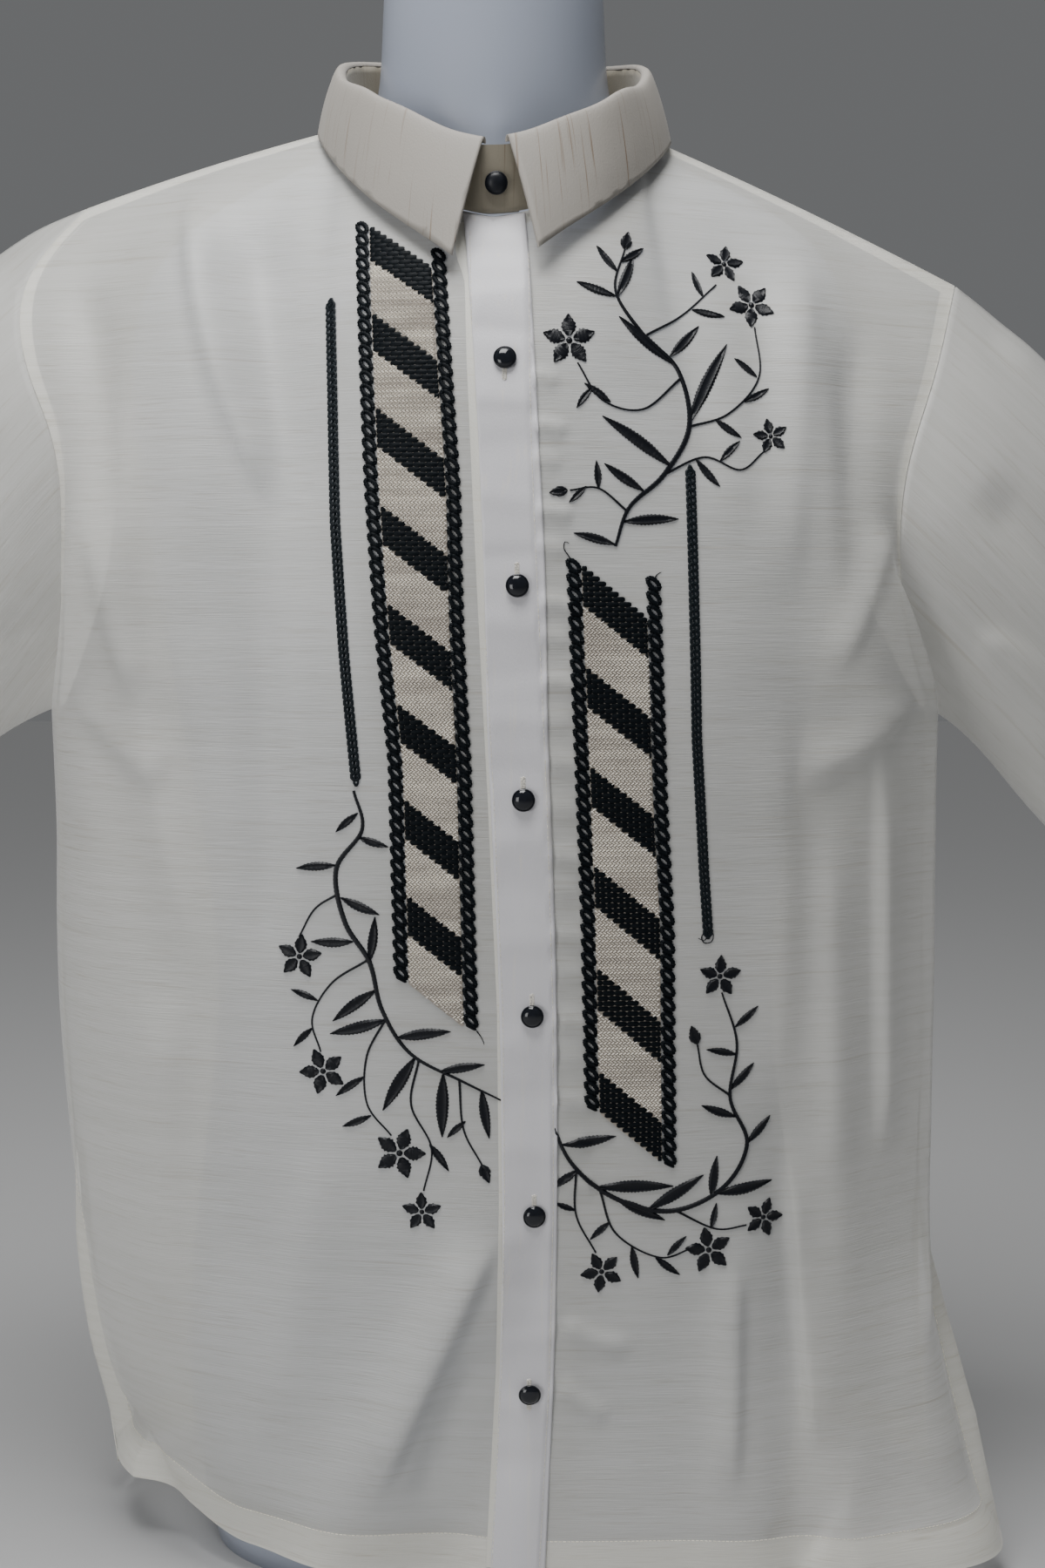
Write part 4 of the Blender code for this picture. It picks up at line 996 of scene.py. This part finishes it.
for band in BANDS:
    blacks, creams = [], []
    for stripe in range(len(band.starts) - 1):
        if stripe * ROWS + BLACK_ROWS > band.last:
            continue
        for step in range(BLACK_ROWS + SLANT_ROWS):
            row = stripe * ROWS + step
            width = fill_width(band, row)
            for dash in range(BLACK_ROWS // 2):
                near = (step + 1 - 2 * dash) * SHIFT - 2 * SHIFT
                far = near + 2 * SHIFT
                near, far = max(near, 0.5), min(far, width - 0.4)
                if far - near < SHORTEST or step > BLACK_ROWS + width / SHIFT:
                    continue
                spot = in_band(band, (near + far) / 2, row + 0.5, 0.0, 0.0008)
                blacks.append(spot @ Matrix.Scale((far - near) / (2 * SHIFT), 4, (1, 0, 0)))
    for half in range(int((band.last + SLANT_ROWS) / BASKET_ROW)):
        row = half * BASKET_ROW
        width = fill_width(band, row)
        for column in range(int(width / BASKET) + 1):
            across = 0.9 + (column + 0.5 * (half % 2)) * BASKET
            slant = row + 0.5 - across / SHIFT
            if across > width - 0.7 or not 0.0 < slant < band.last:
                continue
            if slant % ROWS < BLACK_ROWS + 0.15 or slant % ROWS > ROWS - 0.1:
                continue
            turn = 0.60 if half % 2 else -0.60
            creams.append(in_band(band, across, row, turn, 0.0007))
    scattered(band.node + "_black", brick, blacks, black_thread, "black_thread", band.node)
    scattered(band.node + "_cream", basket, creams, cream_rayon, "stripe_thread", band.node)

    ropes, bridges = [], []
    for edge, inward in ((band.left, ROPE / 2), (band.right, -ROPE / 2)):
        low, high = edge[-1][1] + 1.5, edge[0][1] - 3.5
        row = 0.0 if edge is band.left else ROWS * (band.starts[0] - high) / STRIPE_PITCH
        while row_height(band, row) > low:
            z = row_height(band, row)
            x = edge_at(edge, z) + inward
            ropes.append(on_front(x, z, RING_TURN, 0.0002))
            end = on_front(x - END_LEFT, z + END_UP, END_TURN, 0.0002)
            bridges.append(end @ Matrix.Diagonal((0.40, 0.45, 0.7, 1.0)))
            z = row_height(band, row + ROPE_PITCH / 2)
            bridges.append(on_front(edge_at(edge, z) + inward, z, TIE_TURN, 0.0003))
            row += ROPE_PITCH
    scattered(band.node + "_ropes", rope_ring, ropes, black_thread, "black_thread", band.node)
    scattered(
        band.node + "_rope_ties", rope_bridge, bridges, black_thread, "black_thread", band.node
    )

    lines = []
    for row in np.arange(-0.5, band.last + SLANT_ROWS, 0.8):
        width = fill_width(band, row)
        inside = [a for a in np.linspace(0.2, width - 0.2, 40) if 0 < row - a / SHIFT < band.last]
        if len(inside) > 1:
            places = np.linspace(inside[0], inside[-1], 12)
            spots = [in_band(band, across, row, 0.0, 0.0006) for across in places]
            lines.append([spot.translation for spot in spots])
    ground = strip_through(lines)
    placed(band.node + "_underlay", ground, underlay_painted_shade, "stripe_thread", band.node)


# ---- Braids ----
# A narrow black chain of small linked rings, couched on by machine beside each band. It
# ends in a point where the thread is drawn together.

BRAIDS = {  # middle at the top and at the foot, in millimetres
    "braid_right": ((-79.9, 667.0), (-77.8, 621.0), (-75.6, 556.8), (-71.2, 493.7), (-65.7, 431.0)),
    "braid_left": ((97.0, 583.0), (98.5, 514.7), (100.1, 451.3), (104.2, 387.0), (106.7, 355.0)),
}
BRAID_PITCH = 3.25
link = oval_ring(0.00195, 0.00192, 0.00082, 0.0010, 16, 0.12)
heart = rib(0.0018, 0.00066, 0.0012)
braid_thread = sewing_thread(
    "black_braid_thread", (0.008, 0.012, 0.015), 0.42, BLACK_TWIST, sheen=0.0, gloss=0.14
)
for node, line in BRAIDS.items():
    links, hearts = [], []
    top, foot = line[0], line[-1]
    for z in np.arange(top[1] - 2.2, foot[1] + 1.5, -BRAID_PITCH):
        x = edge_at(line, z)
        links.append(on_front(x, z, 0.0, 0.0001))
        hearts.append(on_front(x, z, math.pi / 2, 0.0002))
    for (x, z), inward in ((top, -0.6), (foot, 0.6)):  # the drawn-together points
        links.append(on_front(x, z + inward, 0.0, 0.0001) @ Matrix.Scale(0.55, 4, (1, 0, 0)))
    scattered(node + "_chain", link, links, braid_thread, "black_thread", node)
    scattered(node + "_heart", heart, hearts, braid_thread, "black_thread", node)


# ---- Embroidered sprays ----
# Three sprays of jasmine, worked by machine in glossy black thread: stems in stem stitch,
# split leaves, five-petalled blossoms and buds in satin stitch, and a knot in each blossom.

STEP = 0.0009


def curve(*places):
    """A smooth line through given points, in metres, at an even step."""
    spots = [Vector(place) / 1000 for place in places]
    spots = [2 * spots[0] - spots[1]] + spots + [2 * spots[-1] - spots[-2]]
    line = []
    for a, b, c, d in zip(spots, spots[1:], spots[2:], spots[3:]):
        count = max(2, int((c - b).length / STEP))
        for step in range(count):
            t = step / count
            line.append(
                (2 * b + (c - a) * t + (2 * a - 5 * b + 4 * c - d) * t * t
                 + (3 * b - a - 3 * c + d) * t**3) / 2
            )
    line.append(spots[-2])
    return line


def toward(degrees):
    turn = math.radians(degrees)
    return Vector((math.cos(turn), math.sin(turn)))


class Needlework:
    """Satin stitching gathered into one piece, with threads across each run of it."""

    def __init__(self):
        self.bm = bmesh.new()
        self.threads = self.bm.loops.layers.uv.new("threads")

    def run(self, line, widths, split=False, height=0.55):
        """Stitches along a line. The widths are spread over its length."""
        outline = (-1.0, -0.62, 0.0, 0.62, 1.0)
        up = (0.0, 0.9, 0.35 if split else 1.0, 0.9, 0.0)
        rows, along = [], 0.0
        for index, place in enumerate(line):
            after, before = line[min(index + 1, len(line) - 1)], line[max(index - 1, 0)]
            way = (after - before).normalized()
            along += (place - before).length if index else 0.0
            share = index / (len(line) - 1)
            width = float(np.interp(share, np.linspace(0, 1, len(widths)), widths)) / 1000
            spot = laid(cloth_tree, place.x, place.y, math.atan2(way.y, way.x), 0.0002)
            if spot is None:
                continue
            jag = 1.0 + (0.10 if index % 2 else -0.10)
            row = []
            for across, rise in zip(outline, up):
                tall = min(width * height, 0.0009) * rise
                local = Vector((0.0, across * width / 2 * jag, tall))
                row.append((self.bm.verts.new(spot @ local), along, across * width / 2))
            rows.append(row)
        for first, second in zip(rows, rows[1:]):
            for left in range(4):
                corners = (first[left], second[left], second[left + 1], first[left + 1])
                face = self.bm.faces.new([corner[0] for corner in corners])
                for loop, corner in zip(face.loops, corners):
                    loop[self.threads].uv = (corner[1], corner[2])

    def leaf(self, x, z, turn, length, breadth, bend=0.2):
        """A pointed leaf, in millimetres, that bends one way as it runs out."""
        way = toward(turn)
        side = Vector((-way.y, way.x))
        base = Vector((x, z))
        middle = base + way * length * 0.55 + side * length * bend * 0.5
        tip = base + way * length + side * length * bend
        breadths = [breadth * share for share in (0.16, 0.62, 0.94, 1.0, 0.86, 0.55, 0.08)]
        self.run(curve(base, middle, tip), breadths, split=breadth > 2.6)

    def blossom(self, x, z, size, turn):
        for petal in range(5):
            way = toward(turn + 72 * petal)
            start = Vector((x, z)) + way * size * 0.20
            line = curve(start, start + way * size * 0.5, start + way * size)
            breadths = [size * share for share in (0.14, 0.50, 0.66, 0.60, 0.34, 0.06)]
            self.run(line, breadths, split=True)
        self.knot(x, z, size * 0.15)

    def knot(self, x, z, radius):
        spot = on_front(x, z)
        bmesh.ops.create_icosphere(
            self.bm, subdivisions=2, radius=radius / 1000,
            matrix=spot @ Matrix.Diagonal((1.0, 1.0, 0.7, 1.0)), calc_uvs=False,
        )

    def bud(self, x, z, turn, size):
        self.leaf(x, z, turn, size, size * 0.5, 0.0)
        self.leaf(x, z, turn + 38, size * 0.6, size * 0.24, -0.2)
        self.leaf(x, z, turn - 38, size * 0.6, size * 0.24, 0.2)


# glossy thread laid side by side across each leaf and stem
SATIN_BLACK = (0.005, 0.006, 0.009)
satin_stitch = Finish("black_satin_thread", SATIN_BLACK, 0.34, Specular_IOR_Level=0.25)
along = satin_stitch.add("UVMap", uv_map="threads").outputs["UV"]
fibres = satin_stitch.noise((2600.0, 120.0, 1.0), 1.0, along)
satin_stitch.colored(
    fibres, (0.3, [value * 0.6 for value in SATIN_BLACK]),
    (0.7, [value * 1.5 for value in SATIN_BLACK]),
)
satin_stitch.relief(fibres, 0.6, 0.0003)
black_satin = satin_stitch.material
STEM = (1.4, 2.4, 2.6, 2.2, 1.6, 0.9)  # widths along it, in millimetres
TWIG = (1.3, 1.0, 0.9)
Spray = namedtuple("Spray", "stem twigs blossoms leaves buds")
SPRAYS = {  # places across and up; a blossom's size and turn; a leaf's turn, length, breadth, bend
    "chest_spray": Spray(
        ((60, 545), (67, 564), (84, 580), (97, 604), (92, 632), (74, 650), (61, 671), (66, 693)),
        (
            ((97, 604), (117, 611), (133, 630), (132, 656)),
            ((82, 579), (104, 589), (122, 583), (134, 592)),
            ((76, 649), (95, 661), (113, 678)),
            ((93, 628), (74, 612), (54, 616), (42, 634)),
            ((66, 562), (52, 573), (38, 572)),
        ),
        ((38, 645, 11.0, 20), (131, 668, 10.0, 50), (118, 690, 8.5, 10), (138, 600, 7.5, 30)),
        (
            (60, 546, 148, 20, 4.4, 0.3), (64, 557, 20, 26, 5.2, -0.3),
            (74, 572, 165, 22, 4.8, -0.35), (88, 584, 128, 40, 6.0, 0.30),
            (97, 606, 76, 44, 6.4, -0.22), (90, 635, 158, 34, 5.8, -0.32),
            (88, 639, 36, 22, 4.8, 0.2), (61, 668, 172, 20, 4.6, -0.2),
            (62, 668, 52, 22, 4.8, 0.30), (62, 681, 142, 16, 4.0, -0.25),
            (64, 686, 20, 14, 3.8, 0.3), (110, 608, 306, 15, 3.8, 0.35),
            (125, 617, 10, 14, 3.6, 0.35), (132, 630, 124, 14, 3.6, 0.3),
            (100, 588, 292, 17, 4.0, 0.35), (112, 587, 62, 14, 3.6, -0.3),
            (100, 664, 330, 16, 4.0, 0.35), (106, 671, 128, 14, 3.6, -0.3),
            (58, 615, 128, 15, 3.8, 0.3), (49, 622, 214, 12, 3.4, 0.35),
            (52, 573, 78, 13, 3.6, 0.3), (46, 574, 240, 11, 3.2, -0.3),
        ),
        ((66, 693, 78, 10), (37, 572, 188, 9)),
    ),
    "right_waist_spray": Spray(
        (
            (-67, 427), (-63, 408), (-76, 388), (-72, 362), (-60, 342), (-54, 318), (-40, 296),
            (-14, 282), (6, 272),
        ),
        (
            ((-75, 376), (-87, 368), (-95, 354)),
            ((-61, 343), (-79, 331), (-89, 313), (-85, 296)),
            ((-52, 314), (-62, 294), (-62, 270), (-50, 254)),
            ((-36, 293), (-40, 270), (-30, 248), (-34, 226)),
            ((-16, 283), (-14, 258), (-5, 240)),
        ),
        ((-95, 344, 9.5, 10), (-84, 286, 10.0, 40), (-46, 245, 11.0, 0), (-35, 215, 8.5, 20)),
        (
            (-65, 416, 204, 14, 3.6, 0.3), (-65, 404, 326, 15, 4.0, 0.3),
            (-76, 390, 166, 19, 4.4, 0.35), (-74, 374, 320, 20, 4.8, 0.3),
            (-68, 352, 200, 20, 5.0, -0.35), (-60, 342, 66, 22, 4.8, 0.3),
            (-57, 328, 200, 26, 5.6, 0.3), (-52, 313, 212, 28, 6.0, -0.30),
            (-47, 304, 24, 26, 5.6, -0.3), (-38, 294, 228, 31, 6.4, 0.2),
            (-26, 287, 26, 22, 4.8, -0.3), (-24, 286, 262, 32, 6.4, 0.12),
            (-5, 278, 262, 24, 5.0, 0.3), (-86, 322, 142, 14, 3.6, 0.3),
            (-89, 308, 206, 13, 3.4, 0.35), (-63, 284, 196, 17, 4.0, 0.35),
            (-60, 264, 222, 15, 3.8, -0.35), (-31, 250, 322, 16, 4.0, -0.3),
            (-13, 262, 206, 12, 3.4, 0.3),
        ),
        ((-5, 240, 292, 10),),
    ),
    "left_waist_spray": Spray(
        (
            (28, 266), (40, 240), (62, 222), (90, 215), (116, 226), (128, 248), (119, 272),
            (122, 300), (114, 326),
        ),
        (
            ((119, 273), (106, 284), (102, 300)),
            ((54, 226), (62, 204), (84, 191), (102, 196)),
            ((92, 215), (112, 205), (128, 206)),
            ((42, 238), (42, 214), (52, 194)),
        ),
        ((113, 334, 9.0, 15), (109, 194, 10.0, 30), (137, 209, 8.5, 0), (55, 184, 9.0, 45)),
        (
            (35, 250, 352, 26, 5.4, 0.3), (43, 237, 200, 16, 4.2, 0.3),
            (52, 228, 11, 38, 6.2, -0.2), (62, 222, 318, 26, 5.2, 0.3),
            (78, 216, 20, 32, 6.2, 0.2), (110, 221, 97, 21, 4.8, -0.25),
            (112, 223, 350, 28, 5.8, 0.35), (128, 248, 30, 17, 4.4, 0.35),
            (122, 262, 176, 18, 4.4, -0.3), (119, 276, 30, 17, 4.2, 0.35),
            (122, 294, 152, 15, 3.8, 0.3), (121, 308, 26, 15, 3.8, 0.3),
            (59, 210, 206, 13, 3.6, 0.3), (70, 197, 262, 16, 4.0, 0.35),
            (82, 191, 306, 15, 3.8, 0.3), (88, 192, 62, 13, 3.6, -0.3),
            (42, 216, 176, 11, 3.2, -0.3), (110, 205, 62, 13, 3.4, 0.3),
        ),
        ((102, 300, 108, 10),),
    ),
}
for name, spray in SPRAYS.items():
    work = Needlework()
    work.run(curve(*spray.stem), STEM)
    for twig in spray.twigs:
        work.run(curve(*twig), TWIG)
    for blossom in spray.blossoms:
        work.blossom(*blossom)
    for leaf in spray.leaves:
        work.leaf(*leaf)
    for bud in spray.buds:
        work.bud(*bud)
    placed(name, work.bm, black_satin, "black_thread")

tails = Needlework()
for tail in (  # loose thread ends at the bands and the left braid
    ((39.4, 537.5), (37.4, 540.6), (35.2, 544.0), (35.6, 547.2), (37.6, 546.6)),
    ((78.2, 528.6), (80.6, 531.8), (82.6, 532.8)),
    (
        (106.7, 357.0), (103.6, 354.6), (104.8, 351.2), (108.4, 351.6), (109.4, 355.4),
        (107.2, 357.4),
    ),
    ((107.0, 356.0), (105.0, 352.4), (101.8, 353.6)),
    ((-7.4, 308.0), (-4.8, 304.2), (-3.6, 301.0)),
):
    tails.run(curve(*tail), (0.7, 0.5, 0.3))
placed("thread_tails", tails.bm, black_satin, "black_thread")


# ---- Floor, light and camera ----
# A plain pale floor. A large soft light stands above the shirt's right shoulder and a weaker
# one low on that side, and an even light comes from above and all round. The camera stands
# before the chest.

mesh = bpy.data.meshes.new("pale_floor")
mesh.from_pydata([(-6, -4, 0), (6, -4, 0), (6, 8, 0), (-6, 8, 0)], [], [(0, 1, 2, 3)])
mesh.materials.append(Finish("pale_floor", (0.50, 0.50, 0.50), 0.8).material)
floor = in_scene("pale_floor", mesh)


def area_light(name, place, aim, size, power, spread=180):
    data = bpy.data.lights.new(name, "AREA")
    data.size = size
    data.energy = power
    data.spread = math.radians(spread)
    light = in_scene(name, data)
    light.location = place
    light.rotation_euler = (Vector(aim) - Vector(place)).to_track_quat("-Z", "Y").to_euler()


area_light("key", (-0.18, -0.50, 1.82), (-0.02, -0.08, 0.58), 0.8, 24.0)
area_light("fill", (-1.25, -1.5, 0.42), (-0.1, 0.0, 0.30), 0.9, 6.2, 130)
overhead = bpy.data.lights.new("overhead", "SUN")
overhead.energy = 0.5
overhead.angle = math.radians(40)
in_scene("overhead", overhead)
world = bpy.data.worlds.new("studio")
world.use_nodes = True
backdrop = world.node_tree.nodes["Background"]
backdrop.inputs["Color"].default_value = (0.42, 0.43, 0.44, 1.0)
backdrop.inputs["Strength"].default_value = 0.34
bpy.context.scene.world = world

camera_data = bpy.data.cameras.new("camera")
camera_data.lens = 44.46
camera_data.sensor_width = 36.0
camera = in_scene("camera", camera_data)
camera.location = (0.0153, -1.06, 0.514)
camera.rotation_euler = (math.radians(90 - 5.1), 0.0, 0.0)
bpy.context.scene.camera = camera
